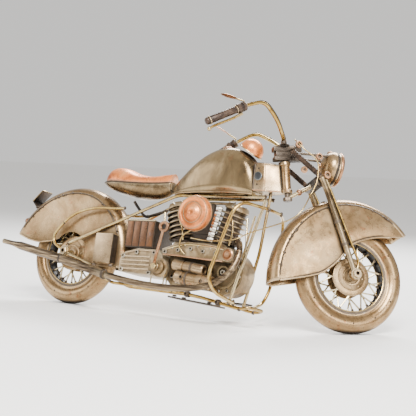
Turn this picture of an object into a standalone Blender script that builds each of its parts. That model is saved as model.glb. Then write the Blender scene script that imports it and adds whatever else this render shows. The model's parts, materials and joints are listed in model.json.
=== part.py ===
"""Handmade tin display motorcycle, leaning on its side stand with the bars turned left."""
import math

import bmesh
import bpy
from mathutils import Matrix, Quaternion, Vector

for old in list(bpy.data.objects):
    bpy.data.objects.remove(old, do_unlink=True)

# Every size and place below is in millimetres; MM turns it into metres.
MM = 0.001

# Driving sizes
WHEEL_RADIUS = 52.0
WHEELBASE = 306.0
TYRE_HALF_WIDTH = 8.6
RIM_SEAT_RADIUS = 35.0
RIM_DEPTH = 2.8
DRUM_RADIUS = 17.9
DRUM_OUTER_FACE = 9.0
HUB_BARREL_RADIUS = 5.2
SPOKES_A_SIDE = 10
SPOKE_RADIUS = 0.55
SPOKE_CROSSING = 0.42
AXLE_RADIUS = 2.1
AXLE_CLEARANCE = 0.2
NUT_RADIUS = 3.9
NUT_LENGTH = 3.0
EYE_RADIUS = 5.3
GAP = 0.3
SHEET = 0.8
ROD_RADIUS = 1.6
HOOP_RADIUS = 1.4
HEAD_RAKE = math.radians(11.7)
FORK_OFFSET = 53.8
STEER_ANGLE = math.radians(46.5)
BAR_TWIST = math.radians(-12.5)
LEAN_ANGLE = math.radians(12.5)
FENDER_HALF_WIDTH = 13.6
REAR_SEAM_RADIUS = 61.4
FRONT_SEAM_RADIUS = 66.6
CROWN_RISE = 8.0
FORK_HALF_SPACING = 17.2
FORK_LEG_RADIUS = 2.8
AXLE_PLATE_OFFSET = 20.2
AXLE_PLATE_THICKNESS = 1.6
HEAD_TUBE_LENGTH = 30.0
HEAD_TUBE_RADIUS = 4.0
STEM_RADIUS = 2.6
LINK_RADIUS = 1.9
CLAMP_THICKNESS = 15.0
RAIL_HALF_SPACING = 9.0
CRADLE_HALF_SPACING = 14.0
CRASH_BAR_HALF_WIDTH = 45.0
TANK_LENGTH = 92.0
TANK_HALF_WIDTH = 18.5
TANK_HEIGHT = 46.5
ENGINE_HALF_WIDTH = 11.0
CYLINDER_RADIUS = 11.2
FIN_DEPTH = 2.8
FIN_COUNT = 6
FIN_THICKNESS = 1.7
CASE_TOP = 68.0
CYLINDER_LENGTH = 38.0
EXHAUST_RADIUS = 3.0
MUFFLER_RADIUS = 4.3
MUFFLER_TIP_RADIUS = 2.6
GRIP_RADIUS = 3.4
GRIP_LENGTH = 43.4
LEVER_LENGTH = 38.0
LEVER_RADIUS = 1.3
LAMP_RADIUS = 16.0
LAMP_DEPTH = 15.5
STAND_ROD_RADIUS = 1.9
FOOT_RADIUS = 5.0
DASH_RADIUS = 12.0
KICK_SHAFT_LENGTH = 12.0
CABLE_RADIUS = 0.6
FOOTBOARD_THICKNESS = 1.6

# Places that follow from the driving sizes
REAR_AXLE = Vector((-WHEELBASE / 2, 0, WHEEL_RADIUS))
FRONT_AXLE = Vector((WHEELBASE / 2, 0, WHEEL_RADIUS))
STEER_AXIS = Vector((-math.sin(HEAD_RAKE), 0, math.cos(HEAD_RAKE)))
FORK_FORWARD = Vector((math.cos(HEAD_RAKE), 0, math.sin(HEAD_RAKE)))
STEER_FOOT = FRONT_AXLE - FORK_OFFSET * FORK_FORWARD
HEAD_TUBE_LOW = 80.0
HEAD_TUBE_TOP = HEAD_TUBE_LOW + HEAD_TUBE_LENGTH
HEAD_MIDDLE = STEER_FOOT + STEER_AXIS * (HEAD_TUBE_LOW + HEAD_TUBE_TOP) / 2
RAIL_HEIGHT = HEAD_MIDDLE.z - 20.0
TANK_BASE = RAIL_HEIGHT + ROD_RADIUS + GAP

finishes = {}
groups = {}


def finish(name):
    """The shared material of one finish, made on first use."""
    table = {
        "bronze_sheet": ((0.58, 0.46, 0.34), 0.42, 0.85),
        "brass_rod": ((0.78, 0.60, 0.28), 0.28, 1.0),
        "copper": ((0.80, 0.42, 0.26), 0.34, 1.0),
        "olive_bronze": ((0.36, 0.30, 0.20), 0.35, 0.9),
        "dark_iron": ((0.09, 0.08, 0.07), 0.5, 0.8),
        "steel": ((0.47, 0.43, 0.38), 0.36, 0.95),
        "cast_alloy": ((0.66, 0.58, 0.47), 0.45, 0.8),
    }
    if name not in finishes:
        colour, roughness, metallic = table[name]
        material = bpy.data.materials.new(name)
        material.use_nodes = True
        shader = material.node_tree.nodes["Principled BSDF"]
        shader.inputs["Base Color"].default_value = (*colour, 1.0)
        shader.inputs["Roughness"].default_value = roughness
        shader.inputs["Metallic"].default_value = metallic
        finishes[name] = material
    return finishes[name]


def make_group(name, origin, parent=None, turn=None):
    """An empty on a joint's axis; origin is where it stands with the bars straight."""
    empty = bpy.data.objects.new(name + "_axis", None)
    bpy.context.scene.collection.objects.link(empty)
    base = Vector((0, 0, 0))
    if parent:
        empty.parent = groups[parent][0]
        base = groups[parent][1]
    empty.location = (Vector(origin) - base) * MM
    if turn:
        empty.rotation_mode = "QUATERNION"
        empty.rotation_quaternion = turn
    groups[name] = (empty, Vector(origin))
    return empty


def add_piece(name, mesh_data, look, group, place=(0, 0, 0), aim=None, sharp=35):
    """Link a bmesh, drawn in millimetres about its own origin, as one named piece."""
    bmesh.ops.recalc_face_normals(mesh_data, faces=mesh_data.faces)
    bmesh.ops.scale(mesh_data, vec=(MM, MM, MM), verts=mesh_data.verts)
    mesh = bpy.data.meshes.new(name)
    mesh_data.to_mesh(mesh)
    mesh_data.free()
    mesh.shade_smooth()
    mesh.set_sharp_from_angle(angle=math.radians(sharp))
    mesh.materials.append(finish(look))
    piece = bpy.data.objects.new(name, mesh)
    bpy.context.scene.collection.objects.link(piece)
    empty, origin = groups[group]
    piece.parent = empty
    piece.location = (Vector(place) - origin) * MM
    if aim:
        piece.rotation_mode = "QUATERNION"
        piece.rotation_quaternion = Vector((0, 0, 1)).rotation_difference(Vector(aim))
    return piece


def combine(base, tool, operation):
    """Join a helper to a piece, or cut it out; the helper itself isn't a piece."""
    tool.hide_render = True
    tool.display_type = "WIRE"
    modifier = base.modifiers.new(operation.title(), "BOOLEAN")
    modifier.operation = operation
    modifier.object = tool
    return base


def thin_shell(piece, thickness=SHEET):
    """Give an open skin its sheet thickness, inwards."""
    modifier = piece.modifiers.new("Sheet", "SOLIDIFY")
    modifier.thickness = thickness * MM
    modifier.offset = -1
    modifier.use_even_offset = True
    return piece


def turned(name, profile, look, group, place, aim, segments=20, ring=False):
    """Spin (radius, distance) points about the aim axis; a ring closes its own profile."""
    solid = bmesh.new()
    verts = [solid.verts.new((radius, 0, along)) for radius, along in profile]
    edges = [solid.edges.new(pair) for pair in zip(verts, verts[1:])]
    if ring:
        edges.append(solid.edges.new((verts[-1], verts[0])))
    bmesh.ops.spin(
        solid, geom=verts + edges, cent=(0, 0, 0), axis=(0, 0, 1),
        angle=2 * math.pi, steps=segments, use_merge=True,
    )
    bmesh.ops.remove_doubles(solid, verts=solid.verts, dist=1e-5)
    return add_piece(name, solid, look, group, place, aim)


def rounded(corners, bend, steps=3):
    """The same route with each inner corner replaced by a short bend."""
    corners = [Vector(point) for point in corners]
    route = [corners[0]]
    for before, corner, after in zip(corners, corners[1:], corners[2:]):
        reach_in = min(bend, (before - corner).length * 0.45)
        reach_out = min(bend, (after - corner).length * 0.45)
        start = corner + (before - corner).normalized() * reach_in
        end = corner + (after - corner).normalized() * reach_out
        for step in range(steps + 1):
            t = step / steps
            route.append(start * (1 - t) ** 2 + corner * 2 * t * (1 - t) + end * t**2)
    route.append(corners[-1])
    return route


def smooth_route(corners, steps):
    """A smooth curve through every corner."""
    corners = [Vector(point) for point in corners]
    padded = [2 * corners[0] - corners[1]] + corners + [2 * corners[-1] - corners[-2]]
    route = []
    for p0, p1, p2, p3 in zip(padded, padded[1:], padded[2:], padded[3:]):
        for step in range(steps):
            t = step / steps
            slope = (p2 - p0) * t
            curve = (2 * p0 - 5 * p1 + 4 * p2 - p3) * t**2
            twist = (3 * p1 - p0 - 3 * p2 + p3) * t**3
            route.append(0.5 * (2 * p1 + slope + curve + twist))
    route.append(corners[-1])
    return route


def add_rod(solid, route, radii, sides=8):
    """Sweep a round section along a route, with flat ends, inside a bmesh."""
    route = [Vector(point) for point in route]
    if not isinstance(radii, (list, tuple)):
        radii = [radii] * len(route)
    tangents = []
    for index in range(len(route)):
        ahead = route[min(index + 1, len(route) - 1)]
        behind = route[max(index - 1, 0)]
        tangents.append((ahead - behind).normalized())
    across = tangents[0].orthogonal().normalized()
    rings = []
    for point, tangent, radius in zip(route, tangents, radii):
        across = (across - tangent * across.dot(tangent)).normalized()
        second = tangent.cross(across)
        ring = []
        for side in range(sides):
            angle = 2 * math.pi * side / sides
            spoke = math.cos(angle) * across + math.sin(angle) * second
            ring.append(solid.verts.new(point + radius * spoke))
        rings.append(ring)
    skin_rings(solid, rings)


def skin_rings(solid, rings, start_cap=True, end_cap=True):
    """Faces between neighbouring closed rings, and a cap on each end."""
    count = len(rings[0])
    for near, far in zip(rings, rings[1:]):
        for index in range(count):
            follow = (index + 1) % count
            solid.faces.new((near[index], near[follow], far[follow], far[index]))
    if start_cap:
        solid.faces.new(list(reversed(rings[0])))
    if end_cap:
        solid.faces.new(rings[-1])


def rod(name, route, radii, look, group, sides=8):
    """One bent rod as a piece."""
    solid = bmesh.new()
    add_rod(solid, route, radii, sides)
    return add_piece(name, solid, look, group, sharp=50)


def mirror_y(points):
    """The same route on the left side."""
    return [Vector((point[0], -point[1], point[2])) for point in points]


def plate(name, outline, low_y, high_y, look, group):
    """A flat sheet or block: an (x, z) outline between two widths."""
    solid = bmesh.new()
    face = solid.faces.new([solid.verts.new((x, low_y, z)) for x, z in outline])
    grown = bmesh.ops.extrude_face_region(solid, geom=[face])
    moved = [item for item in grown["geom"] if isinstance(item, bmesh.types.BMVert)]
    bmesh.ops.translate(solid, verts=moved, vec=(0, high_y - low_y, 0))
    return add_piece(name, solid, look, group, sharp=25)


def block(name, size, place, look, group, bevel=0.8, aim=None):
    """A box with eased edges."""
    solid = bmesh.new()
    bmesh.ops.create_cube(solid, size=1.0)
    bmesh.ops.scale(solid, vec=size, verts=solid.verts)
    bmesh.ops.bevel(solid, geom=solid.edges[:], offset=bevel, segments=1, affect="EDGES")
    return add_piece(name, solid, look, group, place, aim)


def arc_points(centre, radius, start, end, steps):
    """(x, z) points round a centre, angles in degrees from straight ahead."""
    points = []
    for step in range(steps + 1):
        angle = math.radians(start + (end - start) * step / steps)
        points.append((centre.x + radius * math.cos(angle), centre.z + radius * math.sin(angle)))
    return points


# ---- joint axes ----
make_group("frame", (0, 0, 0))
make_group("rear_wheel", REAR_AXLE, "frame")
make_group("fork", STEER_FOOT, "frame", Quaternion(STEER_AXIS, STEER_ANGLE))
make_group("front_wheel", FRONT_AXLE, "fork")
make_group("bars", STEER_FOOT, "fork", Quaternion(STEER_AXIS, BAR_TWIST))


# ---- wheels ----
def build_wheel(group, prefix, centre):
    """Tyre, rim and spoked hub, each spun about the axle."""
    middle = RIM_SEAT_RADIUS + (WHEEL_RADIUS - RIM_SEAT_RADIUS) / 2
    reach = WHEEL_RADIUS - middle
    seat = 0.72 * TYRE_HALF_WIDTH
    tyre = [(RIM_SEAT_RADIUS, -seat)]
    for step in range(11):
        angle = math.radians(-135 + 27 * step)
        tyre.append((middle + reach * math.cos(angle), TYRE_HALF_WIDTH * math.sin(angle)))
    tyre.append((RIM_SEAT_RADIUS, seat))
    turned(prefix + "_tyre", tyre, "bronze_sheet", group, centre, (0, 1, 0), 32, ring=True)

    outer = RIM_SEAT_RADIUS - GAP
    inner = outer - RIM_DEPTH
    lip = seat + GAP
    rim = [
        (inner + 0.7, -lip + 1.2), (inner, -lip), (outer, -lip),
        (outer, lip), (inner, lip), (inner + 0.7, lip - 1.2),
    ]
    turned(prefix + "_rim", rim, "dark_iron", group, centre, (0, 1, 0), 32, ring=True)

    bore = AXLE_RADIUS + AXLE_CLEARANCE
    face = DRUM_OUTER_FACE
    hub = [
        (bore, -face), (HUB_BARREL_RADIUS, -face), (DRUM_RADIUS, -face + 1.6), (DRUM_RADIUS, -face + 3.6),
        (HUB_BARREL_RADIUS, -face + 4.4), (HUB_BARREL_RADIUS, face - 4.4), (DRUM_RADIUS, face - 3.6),
        (DRUM_RADIUS, face - 1.6), (HUB_BARREL_RADIUS, face), (bore, face),
    ]
    drum = turned(prefix + "_hub", hub, "bronze_sheet", group, centre, (0, 1, 0), 20, ring=True)
    spokes = bmesh.new()
    for side in (-1, 1):
        for count in range(SPOKES_A_SIDE):
            start = 2 * math.pi * (count + 0.25 * side) / SPOKES_A_SIDE
            end = start + side * SPOKE_CROSSING
            foot = Vector((math.cos(start), 0, math.sin(start))) * (DRUM_RADIUS - 1.6)
            tip = Vector((math.cos(end), 0, math.sin(end))) * (inner - GAP)
            foot.y = side * (face - 2.6)
            tip.y = side * 2.6
            add_rod(spokes, [foot, tip], SPOKE_RADIUS, 4)
    tool = add_piece(prefix + "_spoke_tool", spokes, "brass_rod", group, centre)
    combine(drum, tool, "UNION")


build_wheel("rear_wheel", "rear", REAR_AXLE)
build_wheel("front_wheel", "front", FRONT_AXLE)


def build_axle(name, group, centre, half_length):
    """A plain axle with a nut face outside each side."""
    head = half_length + GAP
    nut = [
        (AXLE_RADIUS, 0), (NUT_RADIUS, 0), (NUT_RADIUS, NUT_LENGTH - 0.8),
        (NUT_RADIUS - 1.3, NUT_LENGTH), (0, NUT_LENGTH),
    ]
    profile = [(radius, -head - along) for radius, along in reversed(nut)]
    profile += [(radius, head + along) for radius, along in nut]
    turned(name, profile, "dark_iron", group, centre, (0, 1, 0), 12)


build_axle("rear_axle", "frame", REAR_AXLE, AXLE_PLATE_OFFSET + AXLE_PLATE_THICKNESS / 2)
build_axle("front_axle", "fork", FRONT_AXLE, FORK_HALF_SPACING + FORK_LEG_RADIUS)


# ---- fenders ----
def seam(base_radius, flare, start, end, angle):
    """Radius of the fender's side edge: even over the wheel, flaring to its two tips."""
    t = (angle - start) / (end - start)
    first = flare[0] * max(0, 1 - t / 0.35) ** 2
    last = flare[1] * max(0, (t - 0.6) / 0.4) ** 2
    return base_radius + first + last


def build_crown(name, group, axle, base_radius, flare, start, end, stations):
    """The arched strip over the wheel."""
    solid = bmesh.new()
    rings = []
    for station in range(stations + 1):
        angle = start + (end - start) * station / stations
        edge = seam(base_radius, flare, start, end, angle) + GAP
        turn = math.radians(angle)
        section = []
        for inward, order in ((0, range(7)), (SHEET, range(6, -1, -1))):
            for step in order:
                across = math.pi * step / 6
                width = (FENDER_HALF_WIDTH - inward) * math.cos(across)
                height = edge + (CROWN_RISE - inward) * math.sin(across)
                section.append((width, height))
        rings.append([
            solid.verts.new((axle.x + h * math.cos(turn), w, axle.z + h * math.sin(turn))) for w, h in section
        ])
    skin_rings(solid, rings)
    add_piece(name, solid, "bronze_sheet", group)


def build_sides(prefix, group, outline):
    """The two flat side sheets."""
    for side, sign in (("right", -1), ("left", 1)):
        faces = sorted((sign * (FENDER_HALF_WIDTH - SHEET), sign * FENDER_HALF_WIDTH))
        plate(prefix + "_fender_side_" + side, outline, *faces, "bronze_sheet", group)


def seam_outline(axle, base_radius, flare, arc, stations):
    """The upper edge of a side sheet, along its seam with the crown."""
    outline = []
    for station in range(stations + 1):
        angle = arc[0] + (arc[1] - arc[0]) * station / stations
        radius = seam(base_radius, flare, *arc, angle)
        turn = math.radians(angle)
        outline.append((axle.x + radius * math.cos(turn), axle.z + radius * math.sin(turn)))
    return outline


def edge_outline(axle, offsets):
    """The free lower edge of a side sheet, from its offsets to the axle."""
    return [(axle.x + ahead, axle.z + up) for ahead, up in offsets]


REAR_ARC = (-12, 167)
REAR_FLARE = (2.0, 10.0)
REAR_STATIONS = 15
build_crown("rear_fender_crown", "frame", REAR_AXLE, REAR_SEAM_RADIUS, REAR_FLARE, *REAR_ARC, REAR_STATIONS)
rear_outline = seam_outline(REAR_AXLE, REAR_SEAM_RADIUS, REAR_FLARE, REAR_ARC, REAR_STATIONS)
rear_outline += edge_outline(REAR_AXLE, ((-57, 11.5), (-43, 9.2), (-30, 10.2), (-21, 11.5)))
rear_outline += arc_points(REAR_AXLE, DRUM_RADIUS + 3.0, 140, -20, 7)
rear_outline += edge_outline(REAR_AXLE, ((33, -13.0),))
build_sides("rear", "frame", rear_outline)

FRONT_ARC = (46, 195.5)
FRONT_FLARE = (-1.6, 5.0)
FRONT_STATIONS = 14
build_crown(
    "front_fender_crown", "fork", FRONT_AXLE, FRONT_SEAM_RADIUS, FRONT_FLARE, *FRONT_ARC, FRONT_STATIONS
)
front_outline = seam_outline(FRONT_AXLE, FRONT_SEAM_RADIUS, FRONT_FLARE, FRONT_ARC, FRONT_STATIONS)
front_outline += edge_outline(FRONT_AXLE, (
    (-47, -11.5), (-33, -5.3), (-24, 2), (-16, 11.5), (-11.5, 19),
    (-7, 26.5), (2, 33.5), (16, 39.8), (31, 43.7),
))
build_sides("front", "fork", front_outline)

# ---- frame rods ----
for side, sign in (("right", -1), ("left", 1)):
    plate_y = sign * AXLE_PLATE_OFFSET
    rail = [
        (REAR_AXLE.x + 3.5, sign * (AXLE_PLATE_OFFSET - 0.4), REAR_AXLE.z + 8.2),
        (-31, sign * RAIL_HALF_SPACING, RAIL_HEIGHT),
        (HEAD_MIDDLE.x - 15.0, sign * (RAIL_HALF_SPACING - 1.5), RAIL_HEIGHT),
    ]
    rod("upper_rail_" + side, rounded(rail, 7), ROD_RADIUS, "brass_rod", "frame")

    hoop = [
        (68, 45.6), (55, 45.2), (42, 45.6), (30, 45.0), (17, 42.4), (5, 37.8), (-6, 29.6), (-14.5, 20),
        (-17, 12.5), (-14, 7), (-8.5, 3.6), (-3.6, 1.6),
    ]
    hoop_route = [Vector((REAR_AXLE.x + ahead, plate_y, REAR_AXLE.z + up)) for ahead, up in hoop]
    hoop_rod = rod("fender_hoop_" + side, smooth_route(hoop_route, 1), HOOP_RADIUS, "brass_rod", "frame")
    bore = AXLE_RADIUS + AXLE_CLEARANCE
    half_ear = AXLE_PLATE_THICKNESS / 2
    ear = turned(
        "axle_ear_tool_" + side,
        [(bore, -half_ear), (EYE_RADIUS, -half_ear), (EYE_RADIUS, half_ear), (bore, half_ear)],
        "brass_rod", "frame", REAR_AXLE + Vector((0, plate_y, 0)), (0, 1, 0), 14, ring=True,
    )
    combine(hoop_rod, ear, "UNION")

downtube_foot = HEAD_MIDDLE.x - 37.0
right_downtube = [
    (HEAD_MIDDLE.x - 13.0, -RAIL_HALF_SPACING - 1.2, RAIL_HEIGHT - ROD_RADIUS * 2 - GAP),
    (downtube_foot, -CRADLE_HALF_SPACING, 12.0),
]
left_downtube = [
    (HEAD_MIDDLE.x - 16.0, 3.2, TANK_BASE + 3.0),
    (HEAD_MIDDLE.x - 26.0, ENGINE_HALF_WIDTH + ROD_RADIUS + 2 * GAP, 64.0),
    (downtube_foot, CRADLE_HALF_SPACING, 12.0),
]
rod("downtube_right", right_downtube, ROD_RADIUS, "brass_rod", "frame")
rod("downtube_left", rounded(left_downtube, 8), ROD_RADIUS, "brass_rod", "frame")

cradle_side = [(-118, 36), (-94, 23.5), (-20, 20), (14, 15.5), (56, 7.4), (66, 9.5)]
cradle = [(x, -CRADLE_HALF_SPACING, z) for x, z in cradle_side]
cradle += list(reversed(mirror_y(cradle)))
rod("lower_cradle", rounded(cradle, 6), ROD_RADIUS, "brass_rod", "frame")

# The crash bar is bent by hand, so its two sides differ a little.
bar_width = CRASH_BAR_HALF_WIDTH
bar_front = HEAD_MIDDLE.x - 7.5
crash_foot = 45.0
foot_half = CRADLE_HALF_SPACING + 2 * ROD_RADIUS + GAP
crash_right = [
    (crash_foot + 6, -foot_half, 12.5), (crash_foot - 3, -bar_width + 6, 18.5),
    (crash_foot - 8, -bar_width, 32), (crash_foot + 10, -bar_width, 94),
    (bar_front - 13, -bar_width + 7, 103), (bar_front, -12, 101.5),
]
crash_left = [
    (bar_front, 12, 101.5), (bar_front - 11, bar_width - 7, 101),
    (crash_foot + 15, bar_width, 90), (crash_foot + 8, bar_width, 32),
    (crash_foot + 5, bar_width - 6, 18.5), (crash_foot + 8, foot_half, 12.0),
]
crash_route = [Vector(point) for point in crash_right + crash_left]
rod("crash_bar", rounded(crash_route, 8), ROD_RADIUS, "brass_rod", "frame")

stem_bore = STEM_RADIUS + AXLE_CLEARANCE
turned(
    "head_tube",
    [
        (stem_bore, HEAD_TUBE_LOW), (HEAD_TUBE_RADIUS, HEAD_TUBE_LOW),
        (HEAD_TUBE_RADIUS, HEAD_TUBE_TOP), (stem_bore, HEAD_TUBE_TOP),
    ],
    "bronze_sheet", "frame", STEER_FOOT, STEER_AXIS, 16, ring=True,
)

# ---- fork ----
clamp_centre = STEER_FOOT + STEER_AXIS * (HEAD_TUBE_TOP + GAP + CLAMP_THICKNESS / 2)
clamp_front = clamp_centre + FORK_FORWARD * 2.5
clamp_half = FORK_HALF_SPACING - FORK_LEG_RADIUS - GAP
clamp_size = (8.5, 2 * clamp_half, CLAMP_THICKNESS)
top_clamp = block("top_clamp", clamp_size, clamp_front, "dark_iron", "fork", 0.8, STEER_AXIS)
cut = CLAMP_THICKNESS
clamp_bore = turned(
    "clamp_bore_tool", [(0, -cut), (STEM_RADIUS + GAP, -cut), (STEM_RADIUS + GAP, cut), (0, cut)],
    "dark_iron", "fork", clamp_centre, STEER_AXIS, 12,
)
combine(top_clamp, clamp_bore, "DIFFERENCE")

stem_low = STEER_FOOT + STEER_AXIS * (HEAD_TUBE_LOW - 7.0)
stem_top = STEER_FOOT + STEER_AXIS * (HEAD_TUBE_TOP + GAP + CLAMP_THICKNESS + 0.4)
yoke_centre = FRONT_AXLE + Vector((-43.5, 0, 82.0))
stem = rod("fork_yoke", [stem_low, stem_top], STEM_RADIUS, "dark_iron", "fork", 12)
yoke_block = block("yoke_tool", (8.0, 2 * clamp_half, 9.0), yoke_centre, "dark_iron", "fork", 1.2)
link_start = stem_low + STEER_AXIS * LINK_RADIUS - FORK_FORWARD * 1.2
link = rod("link_tool", [link_start, yoke_centre], LINK_RADIUS, "brass_rod", "fork")
combine(stem, yoke_block, "UNION")
combine(stem, link, "UNION")

for side, sign in (("right", -1), ("left", 1)):
    y = sign * FORK_HALF_SPACING
    leg_route = rounded([
        clamp_front + Vector((-1.0, y, -1.5)),
        yoke_centre + Vector((0.5, y, 2.5)),
        yoke_centre + Vector((9.0, y, -13.0)),
        FRONT_AXLE + Vector((-1.8, y, 3.2)),
    ], 6)
    leg = rod("fork_leg_" + side, leg_route, FORK_LEG_RADIUS, "steel", "fork", 10)
    bore = AXLE_RADIUS + AXLE_CLEARANCE
    inner_face = -FORK_LEG_RADIUS + 0.6
    outer_face = FORK_LEG_RADIUS - 0.1
    eye = turned(
        "leg_eye_tool_" + side,
        [(bore, inner_face), (EYE_RADIUS, inner_face), (EYE_RADIUS, outer_face), (bore, outer_face)],
        "steel", "fork", FRONT_AXLE + Vector((0, y, 0)), (0, sign, 0), 14, ring=True,
    )
    combine(leg, eye, "UNION")

lamp_back = yoke_centre + Vector((3.0, 0, 20.5))
lamp_aim = Vector((1, 0, -0.03))
lamp = [(0, LAMP_DEPTH)]
for step in range(5, -1, -1):
    angle = math.pi / 2 * step / 5
    lamp.append((LAMP_RADIUS * math.sin(angle), (LAMP_DEPTH - 4.0) * (1 - math.cos(angle))))
lamp.insert(1, (LAMP_RADIUS, LAMP_DEPTH))
turned("headlight_shell", lamp, "bronze_sheet", "fork", lamp_back, lamp_aim, 20)
rim_start = LAMP_DEPTH + GAP
lamp_rim = [
    (0, rim_start), (LAMP_RADIUS + 0.4, rim_start), (LAMP_RADIUS + 0.8, rim_start + 1.4),
    (LAMP_RADIUS - 0.6, rim_start + 3.4), (LAMP_RADIUS - 2.4, rim_start + 2.8), (0, rim_start + 4.6),
]
turned("headlight_rim", lamp_rim, "copper", "fork", lamp_back, lamp_aim, 20)

# ---- handlebar, grips, levers and mirrors ----
bar_foot = clamp_centre + Vector((-1.0, 0, 0)) + STEER_AXIS * (CLAMP_THICKNESS / 2 + ROD_RADIUS + 3 * GAP)
half_bar = [
    bar_foot + Vector((0, -10.5, 0.6)),
    bar_foot + Vector((-10, -28, 12.5)),
    bar_foot + Vector((-25, -43, 23)),
    bar_foot + Vector((-39.5, -49, 14.5)),
]
grip_end = bar_foot + Vector((-73.5, -62, -12.5))
grip_way = (grip_end - half_bar[-1]).normalized()
bar_tip = half_bar[-1] + grip_way * 3.0
bar_route = [bar_tip] + list(reversed(half_bar)) + mirror_y(half_bar) + mirror_y([bar_tip])
rod("handlebar", rounded(bar_route, 9), ROD_RADIUS + 0.2, "brass_rod", "bars")

# The left lever stands out from its grip, clear of the tank.
for side, sign, lever_name, rise, lever_offset in (
    ("right", -1, "brake_lever", 1.0, Vector((2.2, -1.6, -5.9))),
    ("left", 1, "clutch_lever", 12.0, Vector((3.5, -4.6, -2.6))),
):
    flip = (lambda p: p) if sign < 0 else (lambda p: Vector((p.x, -p.y, p.z)))
    grip_start = bar_tip + grip_way * GAP
    collar = GRIP_RADIUS + 1.0
    grip = [
        (0, 0), (collar, 0), (collar, 9), (GRIP_RADIUS, 9.6),
        (GRIP_RADIUS, GRIP_LENGTH - 1.4), (GRIP_RADIUS - 1, GRIP_LENGTH), (0, GRIP_LENGTH),
    ]
    turned("grip_" + side, grip, "dark_iron", "bars", flip(grip_start), flip(grip_way), 12)

    pivot = grip_start + grip_way * 5.0 + lever_offset
    make_group(lever_name, flip(pivot), "bars")
    lever_route = [
        pivot,
        pivot + grip_way * 0.3 * LEVER_LENGTH + Vector((0, 0, -1.0)),
        pivot + grip_way * 0.85 * LEVER_LENGTH + Vector((0, 0, -0.6)),
        pivot + grip_way * LEVER_LENGTH + Vector((0.6, 0, -1.8)),
    ]
    lever_points = [flip(point) for point in rounded(lever_route, 4)]
    lever_radii = [LEVER_RADIUS] * (len(lever_points) - 1) + [LEVER_RADIUS + 0.6]
    rod(lever_name, lever_points, lever_radii, "brass_rod", lever_name)

    stalk_foot = grip_start + grip_way * 2.0 + Vector((0, 0, GRIP_RADIUS + 1.0 + GAP + 0.6))
    leaf_start = stalk_foot + Vector((-6, -2, 0.3 * rise))
    leaf_tip = leaf_start + Vector((-16, -4, 0.7 * rise))
    stalk = [flip(stalk_foot), flip(leaf_start.lerp(leaf_tip, 0.12))]
    mirror = rod("mirror_" + side, stalk, 0.8, "copper", "bars", 6)
    along = (leaf_tip - leaf_start).normalized()
    wide = along.cross(Vector((0, 0, 1))).normalized()
    thick = along.cross(wide).normalized()
    leaf = bmesh.new()
    rings = []
    for t, half in ((0, 0.9), (0.3, 3.4), (0.65, 3.8), (0.9, 2.2), (1.0, 0.7)):
        centre = leaf_start.lerp(leaf_tip, t)
        corners = ((half, 0.35), (-half, 0.35), (-half, -0.35), (half, -0.35))
        rings.append([leaf.verts.new(flip(centre + wide * w + thick * h)) for w, h in corners])
    skin_rings(leaf, rings)
    combine(mirror, add_piece("mirror_leaf_tool_" + side, leaf, "copper", "bars"), "UNION")

# ---- tank, seat and covers ----
tank_back = -40.0
tank = bmesh.new()
tank_rings = []
# share of the length, share of the height, share of the half width
tank_shape = (
    (0.0, 0.20, 0.30), (0.05, 0.30, 0.42), (0.14, 0.47, 0.62), (0.26, 0.68, 0.82),
    (0.40, 0.87, 0.95), (0.54, 0.98, 1.0), (0.68, 1.0, 1.0), (0.80, 0.95, 0.95),
    (0.90, 0.82, 0.86), (0.97, 0.62, 0.74), (1.0, 0.44, 0.64),
)
for along, tall, broad in tank_shape:
    x = tank_back + TANK_LENGTH * along
    ring = []
    for step in range(13):
        angle = math.pi * (step / 12)
        side = math.copysign(abs(math.cos(angle)) ** 0.62, math.cos(angle)) if step != 6 else 0.0
        rise = abs(math.sin(angle)) ** 0.70
        tuck = 1.0 - 0.12 * (1 - rise)
        y = -TANK_HALF_WIDTH * broad * side * tuck
        ring.append(tank.verts.new((x, y, TANK_BASE + TANK_HEIGHT * tall * rise)))
    tank_rings.append(ring)
for near, far in zip(tank_rings, tank_rings[1:]):
    for index in range(len(near) - 1):
        tank.faces.new((near[index], near[index + 1], far[index + 1], far[index]))
for ring in (tank_rings[0], tank_rings[-1]):
    tank.faces.new(ring)
thin_shell(add_piece("tank", tank, "olive_bronze", "frame"))
tank_front = tank_back + TANK_LENGTH


def oval_shell(name, stations, look, upward, rim_gap):
    """A pressed shell from (x, half width, rim height, depth) stations, open at its rim."""
    skin = bmesh.new()
    rings = []
    for x, half, rim, depth in stations:
        ring = []
        for step in range(9):
            angle = math.pi * step / 8
            height = rim + rim_gap + upward * depth * math.sin(angle)
            ring.append(skin.verts.new((x, -half * math.cos(angle), height)))
        rings.append(ring)
    for near, far in zip(rings, rings[1:]):
        for index in range(len(near) - 1):
            skin.faces.new((near[index], near[index + 1], far[index + 1], far[index]))
    for ring in (rings[0], rings[-1]):
        skin.faces.new(ring)
    thin_shell(add_piece(name, skin, look, "frame"))


seat_rim = RAIL_HEIGHT + 11.0
seat_top_stations = [
    (-122.5, 6, seat_rim + 1.0, 5.0), (-118, 13.5, seat_rim + 0.6, 13.0),
    (-110, 19, seat_rim, 17.5), (-97, 20.5, seat_rim - 0.6, 16.5),
    (-82, 18, seat_rim - 0.8, 11.5), (-66, 13.5, seat_rim, 9.0),
    (-53, 9.5, seat_rim + 1.2, 9.5), (-43, 6.5, seat_rim + 2.4, 9.5),
]
oval_shell("seat_top", seat_top_stations, "copper", 1, GAP)
seat_pan_stations = [
    (-125.5, 6, seat_rim + 1.0, 1.8), (-118, 14.5, seat_rim + 0.6, 5.0),
    (-109, 20, seat_rim, 8.0), (-96, 21.5, seat_rim - 0.6, 10.6),
    (-82, 19, seat_rim - 0.8, 12.8), (-66, 14, seat_rim, 14.2),
    (-53, 9.8, seat_rim + 1.2, 13.6), (-44, 7, seat_rim + 2.4, 10.5),
]
oval_shell("seat_pan", seat_pan_stations, "dark_iron", -1, -GAP)
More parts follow.
